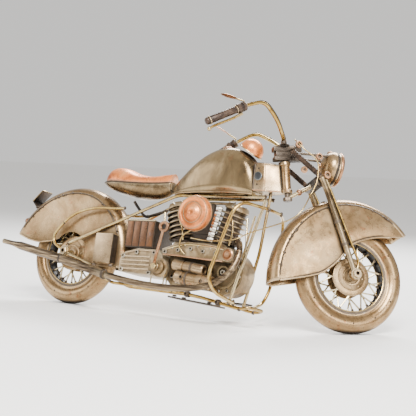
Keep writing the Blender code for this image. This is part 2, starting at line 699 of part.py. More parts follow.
post_route = [(-89, 0, seat_rim - 14.9 - ROD_RADIUS), (-84, 0, 103), (-73, 0, 92.5), (-47, 0, 100)]
rod("seat_post", rounded(post_route, 5), 1.5, "dark_iron", "frame")

dash = []
for step in range(7):
    angle = math.pi / 2 * step / 6
    dash.append((DASH_RADIUS * math.sin(angle), DASH_RADIUS * math.cos(angle)))
dash.append((DASH_RADIUS + 0.4, -1.2))
dash.append((0, -1.2))
dash_aim = Vector((0.56, 0, 0.83))
dash_place = (tank_front - 12.0, 0, TANK_BASE + TANK_HEIGHT * 0.955)
turned("dash_cover", dash, "copper", "frame", dash_place, dash_aim, 16)

neck_back = tank_front + 1.2
neck_top = TANK_BASE + 31.0
neck_low = TANK_BASE + 3.6
neck_reach = HEAD_TUBE_RADIUS + 2 * GAP
neck = bmesh.new()
neck_rings = []
for share, half in ((0.0, 11.5), (0.45, 10.0), (1.0, 4.0)):
    ring = []
    for y, z in (
        (-half, neck_low), (-half, neck_top - 2), (-half + 2, neck_top),
        (half - 2, neck_top), (half, neck_top - 2), (half, neck_low),
    ):
        front = HEAD_MIDDLE.x - (z - HEAD_MIDDLE.z) * math.tan(HEAD_RAKE) - neck_reach / math.cos(HEAD_RAKE)
        ring.append(neck.verts.new((neck_back + share * (front - neck_back), y, z)))
    neck_rings.append(ring)
skin_rings(neck, neck_rings)
add_piece("neck_cover", neck, "bronze_sheet", "frame")

box_x = REAR_AXLE.x + 49.5
box_y = FENDER_HALF_WIDTH + GAP
block("tool_box", (21.5, 9.0, 30.5), (box_x, -box_y - 4.5, REAR_AXLE.z + 4.5), "bronze_sheet", "frame", 1.4)


def crown_spot(angle, lift):
    """A point just above the rear fender's crown, and the way out from the axle there."""
    turn = math.radians(angle)
    out = Vector((math.cos(turn), 0, math.sin(turn)))
    edge = seam(REAR_SEAM_RADIUS, REAR_FLARE, *REAR_ARC, angle)
    return REAR_AXLE + out * (edge + CROWN_RISE + lift), out


holder_foot, outward = crown_spot(135, 4 * GAP)
along_crown = Vector((-outward.z, 0, outward.x))
holder_outline = []
bracket_corners = (
    (0, 0), (2.0, 0), (2.0, 9.0), (18.0, 9.0), (18.0, 10.0), (0.9, 10.0), (0.9, 1.0), (0, 1.0),
)
for along, out in bracket_corners:
    spot = holder_foot - along_crown * (along - 9.0) + outward * out
    holder_outline.append((spot.x, spot.z))
plate("plate_holder", holder_outline, -8.0, 8.0, "dark_iron", "frame")
tail_place, tail_way = crown_spot(156, 4 * GAP)
tail_lamp = [(0, 0), (4.0, 0), (4.0, 2.2), (3.2, 4.4), (1.6, 5.6), (0, 5.9)]
turned("tail_lamp", tail_lamp, "copper", "frame", tail_place, tail_way, 12)

# ---- engine ----
drum_centre = Vector((33, 0, 40.5))
crankcase_outline = arc_points(drum_centre, 21.5, -115, 75, 14)
crankcase_outline += [
    (28, CASE_TOP), (-26, CASE_TOP), (-29.8, CASE_TOP - 4.0), (-29.8, 30), (-26, 26.0), (8, 24.0),
]
plate("crankcase", crankcase_outline, -ENGINE_HALF_WIDTH, ENGINE_HALF_WIDTH, "cast_alloy", "frame")
cover_low = -ENGINE_HALF_WIDTH - GAP
timing_outline = [(-31, 58.5), (-18, 63.0), (-3, 66.2), (20, 64.8), (42, 62)]
timing_outline += arc_points(Vector((43, 0, 55.6)), 6.6, 80, -80, 5)
timing_outline += [(38, 49.6), (18, 50.6), (-12, 52.8), (-29, 53.4)]
plate("timing_cover", timing_outline, cover_low - 13.0, cover_low, "cast_alloy", "frame")
gearbox_outline = [
    (-81, 34.5), (-80.5, 47), (-75, 54.5), (-60, 58.0), (-36, 57.5), (-30.4, 52), (-30.4, 31.5), (-58, 33),
]
gearbox_half = ENGINE_HALF_WIDTH + 6
gearbox = plate("gearbox", gearbox_outline, -gearbox_half - 5.5, gearbox_half, "cast_alloy", "frame")
kick_place = Vector((-31.5, -gearbox_half - 3.0, 40.0))
kick_boss = [
    (0, 0), (9.2, 0), (9.2, 4.0), (8.2, 5.0), (6.4, 5.0), (6.4, 8.5), (3.4, 9.2),
    (3.4, KICK_SHAFT_LENGTH), (0, KICK_SHAFT_LENGTH),
]
boss_tool = turned("kick_boss_tool", kick_boss, "steel", "frame", kick_place, (0, -1, 0), 14)
combine(gearbox, boss_tool, "UNION")

barrel = [(0, 0), (5.4, 0), (6.4, 1.2), (6.4, 26), (7.0, 26.6), (7.0, 40), (6.0, 41.4), (0, 41.4)]
barrel_place = (-14.5, cover_low - 7.1, 33.5)
side_barrel = turned("side_barrel", barrel, "cast_alloy", "frame", barrel_place, (1, 0, -0.12), 12)
upper_barrel = [(0, 0), (4.4, 0), (5.4, 1.2), (5.4, 34), (4.4, 35.2), (0, 35.2)]
upper_place = (-18.5, cover_low - 7.6, 44.8)
upper_tool = turned("upper_barrel_tool", upper_barrel, "steel", "frame", upper_place, (1, 0, -0.13), 12)
combine(side_barrel, upper_tool, "UNION")


def build_cylinder(name, foot_x, tilt):
    """A finned barrel with a plain head, leaning in the V."""
    fin_tip = CYLINDER_RADIUS + FIN_DEPTH
    fins_end = CYLINDER_LENGTH - 6.5
    profile = [(0, 0), (CYLINDER_RADIUS, 0)]
    pitch = (fins_end - 2.5) / FIN_COUNT
    for fin in range(FIN_COUNT):
        low = 2.0 + fin * pitch
        high = low + FIN_THICKNESS
        profile += [(CYLINDER_RADIUS, low), (fin_tip, low), (fin_tip, high), (CYLINDER_RADIUS, high)]
    profile += [
        (CYLINDER_RADIUS, fins_end), (CYLINDER_RADIUS + 1.2, fins_end + 0.5),
        (CYLINDER_RADIUS - 0.4, CYLINDER_LENGTH - 1.2), (0, CYLINDER_LENGTH),
    ]
    aim = Vector((math.sin(tilt), 0, math.cos(tilt)))
    turned(name, profile, "cast_alloy", "frame", Vector((foot_x, 0, CASE_TOP + 3.0)), aim, 16)


build_cylinder("rear_cylinder", -23.5, math.radians(-15))
build_cylinder("front_cylinder", 23.0, math.radians(17))

cleaner_centre = Vector((9.8, -33.2, 91.5))
cleaner = [
    (0, -14.5), (6.5, -14.5), (6.5, -0.8), (13.8, -0.8), (15.6, 0), (16.8, 1.6), (16.8, 6.6), (15.6, 8.6),
    (13.0, 9.6), (5.2, 9.6), (5.0, 10.8), (3.6, 11.2), (0, 11.2),
]
turned("air_cleaner", cleaner, "copper", "frame", cleaner_centre, (0, -1, 0), 24)
stack_foot = Vector((17.5, -17.6, 68.2))
stack = [(0, 0)]
for bead in range(7):
    start = bead * 5.0
    nut_shape = ((2.9, 0.1), (3.3, 1.6), (2.9, 3.6), (1.9, 4.2), (1.9, 4.8))
    stack += [(radius, start + along) for radius, along in nut_shape]
stack += [(0, 35.2)]
turned("pushrod_stack", stack, "steel", "frame", stack_foot, (0.2, 0.0, 1.0), 8)
block("oil_tank", (34.0, 2 * gearbox_half, 27.5), (-64.3, 0, 73.2), "dark_iron", "frame", 1.2)

# ---- exhaust ----
pipe_route = [
    (45, -16.5, 70.5), (50.5, -18.5, 67), (54, -23.5, 55), (50, -29, 39.5), (36, -33.5, 27),
    (16, -35, 21.5), (-14, -35, 20.4), (-50, -35, 23.0), (-86, -35, 28.4),
]
rod("exhaust_pipe", smooth_route(pipe_route, 2), EXHAUST_RADIUS, "steel", "frame", 10)
muffler_route = [
    (-86.4, -35, 28.6), (-87.2, -35, 28.8), (-146, -35, 42.0),
    (-200, -35, 52.6), (-211, -35, 54.6), (-224, -35, 56.6),
]
muffler_radii = [EXHAUST_RADIUS] + [MUFFLER_RADIUS] * 3 + [MUFFLER_TIP_RADIUS] * 2
rod("muffler", muffler_route, muffler_radii, "bronze_sheet", "frame", 12)

# ---- kick starter ----
kick_shaft_end = kick_place + Vector((0, -KICK_SHAFT_LENGTH - GAP, 0))
make_group("kick_lever", kick_shaft_end, "frame")
kick_route = rounded([
    kick_shaft_end + Vector((0, -1.5, -3.0)),
    kick_shaft_end + Vector((0.6, -1.6, 6.0)),
    kick_shaft_end + Vector((6.5, -3.0, 33.4)),
], 6)
kick = rod("kick_lever", kick_route, 1.4, "copper", "kick_lever")
ring_centre = kick_shaft_end + Vector((7.2, -3.0, 38.0))
ring_section = [(2.9, -1.2), (5.4, -1.2), (5.4, 1.2), (2.9, 1.2)]
kick_ring = turned(
    "kick_ring_tool", ring_section, "copper", "kick_lever", ring_centre, (0, 1, 0), 14, ring=True
)
peg_route = [ring_centre + Vector((0, 0, 4.4)), ring_centre + Vector((-0.8, 0, 14))]
kick_peg = rod("kick_peg_tool", peg_route, 1.3, "brass_rod", "kick_lever")
combine(kick, kick_ring, "UNION")
combine(kick, kick_peg, "UNION")

# ---- footboard ----
footboard = bmesh.new()
bmesh.ops.create_cone(footboard, cap_ends=True, segments=16, radius1=1, radius2=1, depth=FOOTBOARD_THICKNESS)
bmesh.ops.scale(footboard, vec=(16.0, 7.5, 1), verts=footboard.verts)
board_y = CRADLE_HALF_SPACING + 13.0
add_piece("footboard", footboard, "dark_iron", "frame", (30.0, board_y, 15.6), sharp=25)

# ---- control cable ----
steer_turn = Matrix.Rotation(STEER_ANGLE, 3, STEER_AXIS)
cable_side = FORK_HALF_SPACING + FORK_LEG_RADIUS + CABLE_RADIUS + 2.2
upper_cable = [
    clamp_front + Vector((0, -cable_side + 5.5, CLAMP_THICKNESS / 2 + 2.5)),
    clamp_front + Vector((9, -cable_side, 0.5)),
    yoke_centre + Vector((-8, -cable_side, 15)),
    yoke_centre + Vector((-5.5, -cable_side, -2)),
    yoke_centre + Vector((-10, -cable_side, -19)),
    yoke_centre + Vector((-23, -cable_side, -44)),
]
cable_corners = [STEER_FOOT + steer_turn @ (point - STEER_FOOT) for point in upper_cable]
cable_corners += [(61, -19, 78), (47, -24.5, 70), (22, -27.5, 67.5), (2, -27.0, 69.5)]
rod("control_cable", smooth_route(cable_corners, 3), CABLE_RADIUS, "brass_rod", "frame", 6)


# ---- stance ----
def world_points(piece):
    """Every corner of a piece after its modifiers, where it now stands."""
    graph = bpy.context.evaluated_depsgraph_get()
    shape = piece.evaluated_get(graph)
    mesh = shape.to_mesh()
    points = [shape.matrix_world @ vertex.co for vertex in mesh.vertices]
    shape.to_mesh_clear()
    return points


def stance(pitch):
    """Turn that leans the machine left and raises its nose by pitch."""
    return Matrix.Rotation(-LEAN_ANGLE, 3, "X") @ Matrix.Rotation(-pitch, 3, "Y")


def lowest(points, turn):
    """Height of the lowest point once turned."""
    return min((turn @ point).z for point in points)


bpy.context.view_layer.update()
rear_points = world_points(bpy.data.objects["rear_tyre"])
front_points = world_points(bpy.data.objects["front_tyre"])
low_pitch, high_pitch = -0.2, 0.2
for halving in range(40):
    middle_pitch = (low_pitch + high_pitch) / 2
    if lowest(front_points, stance(middle_pitch)) < lowest(rear_points, stance(middle_pitch)):
        low_pitch = middle_pitch
    else:
        high_pitch = middle_pitch
level = stance(middle_pitch)
ground = lowest(rear_points, level) / MM

# The stand hangs outside the left axle nut and reaches the ground, wherever the lean puts it.
nut_face = AXLE_PLATE_OFFSET + AXLE_PLATE_THICKNESS / 2 + GAP + NUT_LENGTH
stand_pivot = REAR_AXLE + Vector((0, nut_face + 3 * GAP + STAND_ROD_RADIUS, -1.5))
stand_way = Vector((-0.47, 0.62, -0.63)).normalized()
up_in_frame = level.transposed() @ Vector((0, 0, 1))
foot_thickness = 1.6
drop = (level @ stand_pivot).z - ground - foot_thickness
stand_reach = drop / -(level @ stand_way).z
foot = stand_pivot + stand_way * stand_reach
make_group("side_stand", stand_pivot, "frame")
leg_route = [stand_pivot - stand_way * 1.0, foot + up_in_frame * 0.4]
stand = rod("side_stand", leg_route, STAND_ROD_RADIUS, "brass_rod", "side_stand")
pad = [
    (0, -foot_thickness), (FOOT_RADIUS, -foot_thickness), (FOOT_RADIUS, 0),
    (FOOT_RADIUS - 1.4, 1.0), (0, 1.0),
]
foot_pad = turned("stand_foot_tool", pad, "brass_rod", "side_stand", foot, up_in_frame, 12)
combine(stand, foot_pad, "UNION")

frame_empty = groups["frame"][0]
frame_empty.rotation_mode = "QUATERNION"
frame_empty.rotation_quaternion = level.to_quaternion()
bpy.context.view_layer.update()
cloud = []
for piece in bpy.data.objects:
    if piece.type == "MESH" and not piece.hide_render:
        cloud += world_points(piece)
low_corner = Vector([min(point[axis] for point in cloud) for axis in range(3)])
high_corner = Vector([max(point[axis] for point in cloud) for axis in range(3)])
centre = (low_corner + high_corner) / 2
frame_empty.location = (-centre.x, -centre.y, -low_corner.z)
bpy.context.view_layer.update()
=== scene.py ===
import json
import math
import random

import bmesh
import bpy
from mathutils import Matrix, Vector


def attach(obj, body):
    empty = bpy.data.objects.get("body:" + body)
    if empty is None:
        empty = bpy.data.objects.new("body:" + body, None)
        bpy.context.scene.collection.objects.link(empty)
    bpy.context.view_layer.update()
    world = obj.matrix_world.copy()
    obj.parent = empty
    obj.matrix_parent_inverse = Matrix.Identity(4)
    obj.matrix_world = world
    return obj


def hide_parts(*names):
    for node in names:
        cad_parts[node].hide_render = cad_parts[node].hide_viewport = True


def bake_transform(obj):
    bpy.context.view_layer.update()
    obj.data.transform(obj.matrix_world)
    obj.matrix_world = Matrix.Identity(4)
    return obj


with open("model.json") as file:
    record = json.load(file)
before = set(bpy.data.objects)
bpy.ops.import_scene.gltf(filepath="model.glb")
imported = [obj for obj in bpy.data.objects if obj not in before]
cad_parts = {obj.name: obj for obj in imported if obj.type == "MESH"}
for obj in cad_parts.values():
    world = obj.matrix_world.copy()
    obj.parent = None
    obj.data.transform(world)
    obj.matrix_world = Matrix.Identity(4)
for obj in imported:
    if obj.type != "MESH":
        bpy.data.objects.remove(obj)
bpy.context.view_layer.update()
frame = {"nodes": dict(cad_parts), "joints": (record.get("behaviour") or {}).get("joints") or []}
print("frame loaded:", len(frame["nodes"]), "nodes")

# the machine's own spaces, in millimetres
# Three spaces share one drawing: the frame, the fork turned on its stem, and the bars twisted on the fork.
stance = {"wheelBase": 306.0, "wheelRadius": 52.0, "steer": 46.5, "barTwist": -12.5, "rake": 11.7}
mm = 0.001
jointNamed = {joint["name"]: joint for joint in frame["joints"]}


def jointPlace(name):
    return Vector(jointNamed[name]["pos_m"])


def jointAxis(name):
    return Vector(jointNamed[name]["axis"]).normalized()


def turnAbout(place, axis, degrees):
    turn = Matrix.Rotation(math.radians(degrees), 4, axis)
    return Matrix.Translation(place) @ turn @ Matrix.Translation(-place)


stemPlace = jointPlace("steering")
stemAxis = jointAxis("steering")
rearHub = jointPlace("rear_wheel_spin")
straightFront = turnAbout(stemPlace, stemAxis, -stance["steer"]) @ jointPlace("front_wheel_spin")
left = jointAxis("rear_wheel_spin")
ahead = straightFront - rearHub
ahead = (ahead - left * ahead.dot(left)).normalized()
up = ahead.cross(left)
bikeSpace = Matrix.Identity(4)
for row in range(3):
    bikeSpace[row][0] = ahead[row] * mm
    bikeSpace[row][1] = left[row] * mm
    bikeSpace[row][2] = up[row] * mm
drawingOrigin = rearHub + ahead * mm * stance["wheelBase"] / 2 - up * mm * stance["wheelRadius"]
bikeSpace.translation = drawingOrigin
forkSpace = turnAbout(stemPlace, stemAxis, stance["steer"]) @ bikeSpace
barSpace = turnAbout(stemPlace, stemAxis, stance["steer"] + stance["barTwist"]) @ bikeSpace

rearAxle = Vector((-stance["wheelBase"] / 2, 0, stance["wheelRadius"]))
frontAxle = Vector((stance["wheelBase"] / 2, 0, stance["wheelRadius"]))
rake = math.radians(stance["rake"])
stemWay = Vector((-math.sin(rake), 0, math.cos(rake)))
forkAhead = Vector((math.cos(rake), 0, math.sin(rake)))
stemFoot = frontAxle - 53.8 * forkAhead
headMiddle = stemFoot + stemWay * 95.0
railHeight = headMiddle.z - 20.0
tankBase = railHeight + 1.9


# finishes
def tone(code):
    # hex display colour to linear
    parts = [int(code[place:place + 2], 16) / 255 for place in (1, 3, 5)]
    linear = [part / 12.92 if part <= 0.04045 else ((part + 0.055) / 1.055) ** 2.4 for part in parts]
    return (*linear, 1.0)


finishParts = (
    "slot", "tones", "stain", "stainShare", "rough", "metal", "cloud", "dents", "grimeAndShade", "reach", "edge",
    "fleck", "depth",
)
finishRows = {
    # slot, pale, middle and deep tone, stain and its share, least and most roughness, metal,
    # clouds per metre, dents, the dark colour of the grime flecks and of the painted shade in hollows and
    # creases, the reach of that painted shade in millimetres, worn edge, flecks, depth of the tones
    "bronzeSheet": (
        "bronze_sheet", "#DDBA8B #C5A071 #9C794F", "#83401F", 0.5,
        (0.2, 0.4), 0.9, 30, 0.25, "#120D09", 8.0, "#FFE6BE", 0.45, 0.56,
    ),
    "brassRod": (
        "brass_rod", "#FFDF94 #E0B560 #A57C38", "#6E4A1E", 0.18,
        (0.16, 0.3), 1.0, 60, 0.08, "#1A1108", 3.0, "#FFF1CC", 0.08, 0.56,
    ),
    "copper": (
        "copper", "#FFB070 #F58F48 #A9531F", "#8A4420", 0.22,
        (0.24, 0.42), 0.6, 40, 0.18, "#1E0F08", 5.0, "#FFE6C8", 0.35, 0.88,
    ),
    "dullCopper": (
        "copper", "#DFA272 #B87A4E #7C4A2E", "#5E3018", 0.4,
        (0.22, 0.42), 0.9, 60, 0.2, "#140A06", 5.0, "#FFD3A8", 0.4, 0.6,
    ),
    "oliveBronze": (
        "olive_bronze", "#C0A67E #947C58 #574732", "#7C4426", 0.3,
        (0.14, 0.28), 0.8, 22, 0.1, "#0E0A07", 6.0, "#DCC496", 0.25, 0.78,
    ),
    "darkIron": (
        "dark_iron", "#463D35 #231E1A #0F0D0B", "#5B3A2A", 0.2,
        (0.3, 0.55), 0.7, 120, 0.6, "#050404", 2.0, "#8A7866", 0.2, 0.6,
    ),
    "steel": (
        "steel", "#CBB18A #917857 #4D3F30", "#3E322C", 0.45,
        (0.2, 0.4), 0.95, 46, 0.18, "#0F0B09", 8.0, "#F3DDB4", 0.5, 0.6,
    ),
    "streaked": (
        "bronze_sheet", "#D0B48A #84705A #2A221B", "#1E1813", 0.6,
        (0.22, 0.42), 0.95, 330, 0.18, "#0F0B09", 9.0, "#F3DDB4", 0.5, 0.6,
    ),
    "castAlloy": (
        "cast_alloy", "#E9CDA0 #B99B70 #73593B", "#5A4130", 0.36,
        (0.26, 0.48), 0.88, 75, 0.4, "#0C0806", 9.0, "#FFEDCB", 0.5, 0.6,
    ),
    "blued": (
        "dark_iron", "#8E989B #6B6E70 #3E3B3A", "#A9714F", 0.4,
        (0.28, 0.45), 0.9, 55, 0.2, "#121010", 4.0, "#C9CCC6", 0.2, 0.6,
    ),
    "panelCopper": (
        "dark_iron", "#A87044 #584238 #2A2A32", "#44505E", 0.55,
        (0.24, 0.42), 0.9, 110, 0.3, "#060504", 9.0, "#D9A078", 0.6, 0.34,
    ),
    "brownGrip": (
        "dark_iron", "#7A6250 #4A3A30 #241C18", "#7A5440", 0.3,
        (0.3, 0.46), 0.6, 90, 0.15, "#080605", 2.5, "#9A8068", 0.1, 0.6,
    ),
    "silverNut": (
        "steel", "#DCCBA8 #B3A182 #6A5A44", "#5E4A38", 0.25,
        (0.16, 0.3), 1.0, 90, 0.12, "#0E0B09", 4.0, "#FFFAEE", 0.3, 0.6,
    ),
    "lensGlass": (
        "bronze_sheet", "#C9BFAE #A79C8A #7D7263", "#8A7C68", 0.15,
        (0.08, 0.16), 0.35, 40, 0.05, "#2A2420", 3.0, "#FFFFFF", 0.1, 0.6,
    ),
}
finishTable = {name: dict(zip(finishParts, row)) for name, row in finishRows.items()}
streakStretch = (0.04, 1.0, 1.0)
looks = {}


def addNode(tree, kind, **settings):
    node = tree.nodes.new(kind)
    for key, value in settings.items():
        setattr(node, key, value)
    return node


def addNoise(tree, coords, scale, detail, roughness=0.6, distortion=0.0):
    noise = addNode(tree, "ShaderNodeTexNoise")
    noise.inputs["Scale"].default_value = scale
    noise.inputs["Detail"].default_value = detail
    noise.inputs["Roughness"].default_value = roughness
    noise.inputs["Distortion"].default_value = distortion
    tree.links.new(coords, noise.inputs["Vector"])
    return noise.outputs["Fac"]


def addRamp(tree, value, stops):
    ramp = addNode(tree, "ShaderNodeValToRGB")
    elements = ramp.color_ramp.elements
    while len(elements) < len(stops):
        elements.new(0.5)
    for element, (position, colour) in zip(elements, stops):
        element.position = position
        element.color = colour if len(colour) == 4 else (*colour, 1.0)
    tree.links.new(value, ramp.inputs["Fac"])
    return ramp.outputs["Color"]


def addMix(tree, factor, first, second):
    mix = addNode(tree, "ShaderNodeMix", data_type="RGBA")
    for socket, value in ((mix.inputs[0], factor), (mix.inputs[6], first), (mix.inputs[7], second)):
        if isinstance(value, bpy.types.NodeSocket):
            tree.links.new(value, socket)
        else:
            socket.default_value = value
    return mix.outputs[2]


def greys(*levels):
    return [(position, (level, level, level, 1.0)) for position, level in levels]


def makeFinish(name):
    # patina in three tones, stains, grime flecks, black in the corners and creases (partly dark oxide, partly
    # painted shade) and a rub of bright metal on the edges
    spec = finishTable[name]
    material = bpy.data.materials.new(name)
    material.use_nodes = True
    tree = material.node_tree
    shader = tree.nodes["Principled BSDF"]
    coords = addNode(tree, "ShaderNodeTexCoord").outputs["Object"]
    if name == "streaked":
        mapping = addNode(tree, "ShaderNodeMapping")
        mapping.inputs["Scale"].default_value = streakStretch
        tree.links.new(coords, mapping.inputs["Vector"])
        coords = mapping.outputs["Vector"]
    pale, middle, deep = [
        (*[part * spec["depth"] for part in tone(code)[:3]], 1.0)
        for code in spec["tones"].split()
    ]
    cloud = addNoise(tree, coords, spec["cloud"], 8.0, 0.62, 0.8)
    colour = addRamp(tree, cloud, [(0.32, deep), (0.50, middle), (0.66, pale)])
    blotch = addNoise(tree, coords, spec["cloud"] * 2.4, 7.0, 0.72, 1.8)
    share = spec["stainShare"]
    blotchMask = addRamp(tree, blotch, greys((0.58, 0.0), (0.64, share)))
    colour = addMix(tree, blotchMask, colour, tone(spec["stain"]))
    fleck = addNoise(tree, coords, 700.0, 4.0, 0.65)
    fleckMask = addRamp(tree, fleck, greys((0.60, 0.0), (0.74, spec["fleck"])))
    colour = addMix(tree, fleckMask, colour, tone(spec["grimeAndShade"]))
    # painted shade: ambient occlusion darkens the colour in hollows and between parts towards the dark grime
    # colour; part of this stands for dark oxide in the hollows, the rest is shade painted into the colour
    hollow = addNode(tree, "ShaderNodeAmbientOcclusion", samples=8)
    hollow.inputs["Distance"].default_value = spec["reach"] * mm
    hollowGrimeAndShadeMask = addRamp(tree, hollow.outputs["AO"], greys((0.34, 0.97), (0.92, 0.0)))
    colour = addMix(tree, hollowGrimeAndShadeMask, colour, tone(spec["grimeAndShade"]))
    edge = addNode(tree, "ShaderNodeNewGeometry").outputs["Pointiness"]
    # painted shade: concave creases and joins are darkened towards the dark grime colour, partly dark oxide
    # in the seams, partly shade painted into the colour
    creaseGrimeAndShadeMask = addRamp(tree, edge, greys((0.42, 0.9), (0.485, 0.0)))
    colour = addMix(tree, creaseGrimeAndShadeMask, colour, tone(spec["grimeAndShade"]))
    edgeMask = addRamp(tree, edge, greys((0.53, 0.0), (0.62, 0.55)))
    colour = addMix(tree, edgeMask, colour, (*[part * 0.8 for part in tone(spec["edge"])[:3]], 1.0))
    tree.links.new(colour, shader.inputs["Base Color"])
    low, high = spec["rough"]
    rub = addNoise(tree, coords, spec["cloud"] * 5.0, 6.0, 0.7)
    roughness = addRamp(tree, rub, greys((0.35, low), (0.68, high)))
    grimeRough = addMix(tree, hollowGrimeAndShadeMask, roughness, (0.72, 0.72, 0.72, 1.0))
    tree.links.new(grimeRough, shader.inputs["Roughness"])
    shader.inputs["Metallic"].default_value = spec["metal"]
    hammer = addNode(tree, "ShaderNodeBump")
    hammer.inputs["Strength"].default_value = spec["dents"]
    hammer.inputs["Distance"].default_value = 0.4 * mm
    tree.links.new(addNoise(tree, coords, spec["cloud"] * 3.0, 6.0, 0.6), hammer.inputs["Height"])
    grain = addNode(tree, "ShaderNodeBump")
    grain.inputs["Strength"].default_value = 0.22
    grain.inputs["Distance"].default_value = 0.08 * mm
    tree.links.new(addNoise(tree, coords, 2400.0, 2.0, 0.5), grain.inputs["Height"])
    tree.links.new(hammer.outputs["Normal"], grain.inputs["Normal"])
    tree.links.new(grain.outputs["Normal"], shader.inputs["Normal"])
    return material


def look(name):
    if name not in looks:
        looks[name] = makeFinish(name)
    return looks[name]


# shaping tools
# the space that each body is drawn in; the bars ride on the fork in a space of their own
spaceOf = {
    "frame": bikeSpace, "fork": forkSpace, "bars": barSpace, "rear_wheel": bikeSpace,
    "front_wheel": forkSpace, "kick_lever": bikeSpace, "side_stand": bikeSpace, "brake_lever": barSpace,
    "clutch_lever": barSpace,
}


def newPiece(name, shape, finish, where="frame", replaces=(), sharp=38, thick=0.0, rides=True):
    # shape is drawn in millimetres, in the space that belongs to where
    bmesh.ops.recalc_face_normals(shape, faces=shape.faces)
    bmesh.ops.transform(shape, matrix=spaceOf[where], verts=shape.verts)
    mesh = bpy.data.meshes.new(name)
    shape.to_mesh(mesh)
    shape.free()
    mesh.shade_smooth()
    mesh.set_sharp_from_angle(angle=math.radians(sharp))
    mesh.materials.append(look(finish))
    piece = bpy.data.objects.new(name, mesh)
    bpy.context.scene.collection.objects.link(piece)
    if thick:
        sheet = piece.modifiers.new("Sheet", "SOLIDIFY")
        sheet.thickness = thick * mm
        sheet.offset = -1
    if rides:
        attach(piece, "fork" if where == "bars" else where)
    if replaces:
        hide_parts(*replaces)
    return piece


def make(name, finish, rows, where="frame", replaces=(), sharp=38, thick=0.0):
    # each row is a shaping tool and what it needs
    shape = bmesh.new()
    for tool, *needs in rows:
        tool(shape, *needs)
    return newPiece(name, shape, finish, where, replaces, sharp, thick)


def skin(shape, rings, closed=True, startCap=True, endCap=True):
    count = len(rings[0])
    spans = count if closed else count - 1
    for near, far in zip(rings, rings[1:]):
        for index in range(spans):
            follow = (index + 1) % count
            shape.faces.new((near[index], near[follow], far[follow], far[index]))
    if startCap:
        shape.faces.new(list(reversed(rings[0])))
    if endCap:
        shape.faces.new(rings[-1])


def addTube(shape, route, radii, sides=14):
    route = [Vector(point) for point in route]
    if not isinstance(radii, (list, tuple)):
        radii = [radii] * len(route)
    ways = []
    for index in range(len(route)):
        nextPoint = route[min(index + 1, len(route) - 1)]
        lastPoint = route[max(index - 1, 0)]
        ways.append((nextPoint - lastPoint).normalized())
    across = ways[0].orthogonal().normalized()
    rings = []
    for point, way, radius in zip(route, ways, radii):
        across = (across - way * across.dot(way)).normalized()
        second = way.cross(across)
        ring = []
        for side in range(sides):
            angle = 2 * math.pi * side / sides
            reach = math.cos(angle) * across + math.sin(angle) * second
            ring.append(shape.verts.new(point + reach * radius))
        rings.append(ring)
    skin(shape, rings)


def addLathe(shape, profile, centre, axis, segments=48, ring=False):
    # profile points are (radius, distance along the axis)
    axis = Vector(axis).normalized()
    across = axis.orthogonal().normalized()
    second = axis.cross(across)
    centre = Vector(centre)
    rings = []
    for radius, along in profile:
        if radius < 1e-4:
            rings.append([shape.verts.new(centre + axis * along)])
            continue
        circle = []
        for step in range(segments):
            angle = 2 * math.pi * step / segments
            reach = math.cos(angle) * across + math.sin(angle) * second
            circle.append(shape.verts.new(centre + axis * along + reach * radius))
        rings.append(circle)
    pairs = list(zip(rings, rings[1:]))
    if ring:
        pairs.append((rings[-1], rings[0]))
    for near, far in pairs:
        for step in range(segments):
            follow = (step + 1) % segments
            corners = [near[0] if len(near) == 1 else near[step]]
            if len(near) > 1:
                corners.append(near[follow])
            corners.append(far[0] if len(far) == 1 else far[follow])
            if len(far) > 1:
                corners.append(far[step])
            if len(corners) > 2:
                shape.faces.new(corners)


def addBox(shape, size, centre, turn=None, ease=0.6):
    box = bmesh.new()
    bmesh.ops.create_cube(box, size=1.0)
    bmesh.ops.scale(box, vec=size, verts=box.verts)
    if ease:
        bmesh.ops.bevel(box, geom=box.edges[:], offset=ease, segments=2, affect="EDGES", profile=0.6)
    place = Matrix.Translation(Vector(centre))
    if turn:
        place = place @ turn.to_matrix().to_4x4()
    bmesh.ops.transform(box, matrix=place, verts=box.verts)
    joinShape(shape, box)


def joinShape(shape, other):
    mesh = bpy.data.meshes.new("joined")
    other.to_mesh(mesh)
    other.free()
    shape.from_mesh(mesh)
    bpy.data.meshes.remove(mesh)


def addPlate(shape, outline, lowY, highY, ease=0.5):
    # a plate cut to an (x, z) outline, between two widths
    plate = bmesh.new()
    face = plate.faces.new([plate.verts.new((x, lowY, z)) for x, z in outline])
    grown = bmesh.ops.extrude_face_region(plate, geom=[face])
    moved = [item for item in grown["geom"] if isinstance(item, bmesh.types.BMVert)]
    bmesh.ops.translate(plate, verts=moved, vec=(0, highY - lowY, 0))
    bmesh.ops.recalc_face_normals(plate, faces=plate.faces)
    if ease:
        rims = [edge for edge in plate.edges if abs(edge.verts[0].co.y - edge.verts[1].co.y) < 1e-5]
        bmesh.ops.bevel(plate, geom=rims, offset=ease, segments=2, affect="EDGES", profile=0.6)
    joinShape(shape, plate)


def addNut(shape, centre, axis, radius, height, hole=0.0):
    # six sides, eased, with an open or closed middle
    inner = hole if hole else 0.0
    profile = [
        (inner, 0), (radius * 0.93, 0), (radius, height * 0.14), (radius, height * 0.8),
        (radius * 0.86, height),
    ]
    if hole:
        profile += [(hole * 1.25, height), (hole, height * 0.75)]
    else:
        profile.append((0, height))
    addLathe(shape, profile, centre, axis, 6, ring=bool(hole))


def addRivet(shape, centre, axis, radius, height):
    profile = [(radius, 0), (radius * 0.92, height * 0.5), (radius * 0.6, height * 0.88), (0, height)]
    addLathe(shape, profile, centre, axis, 12)


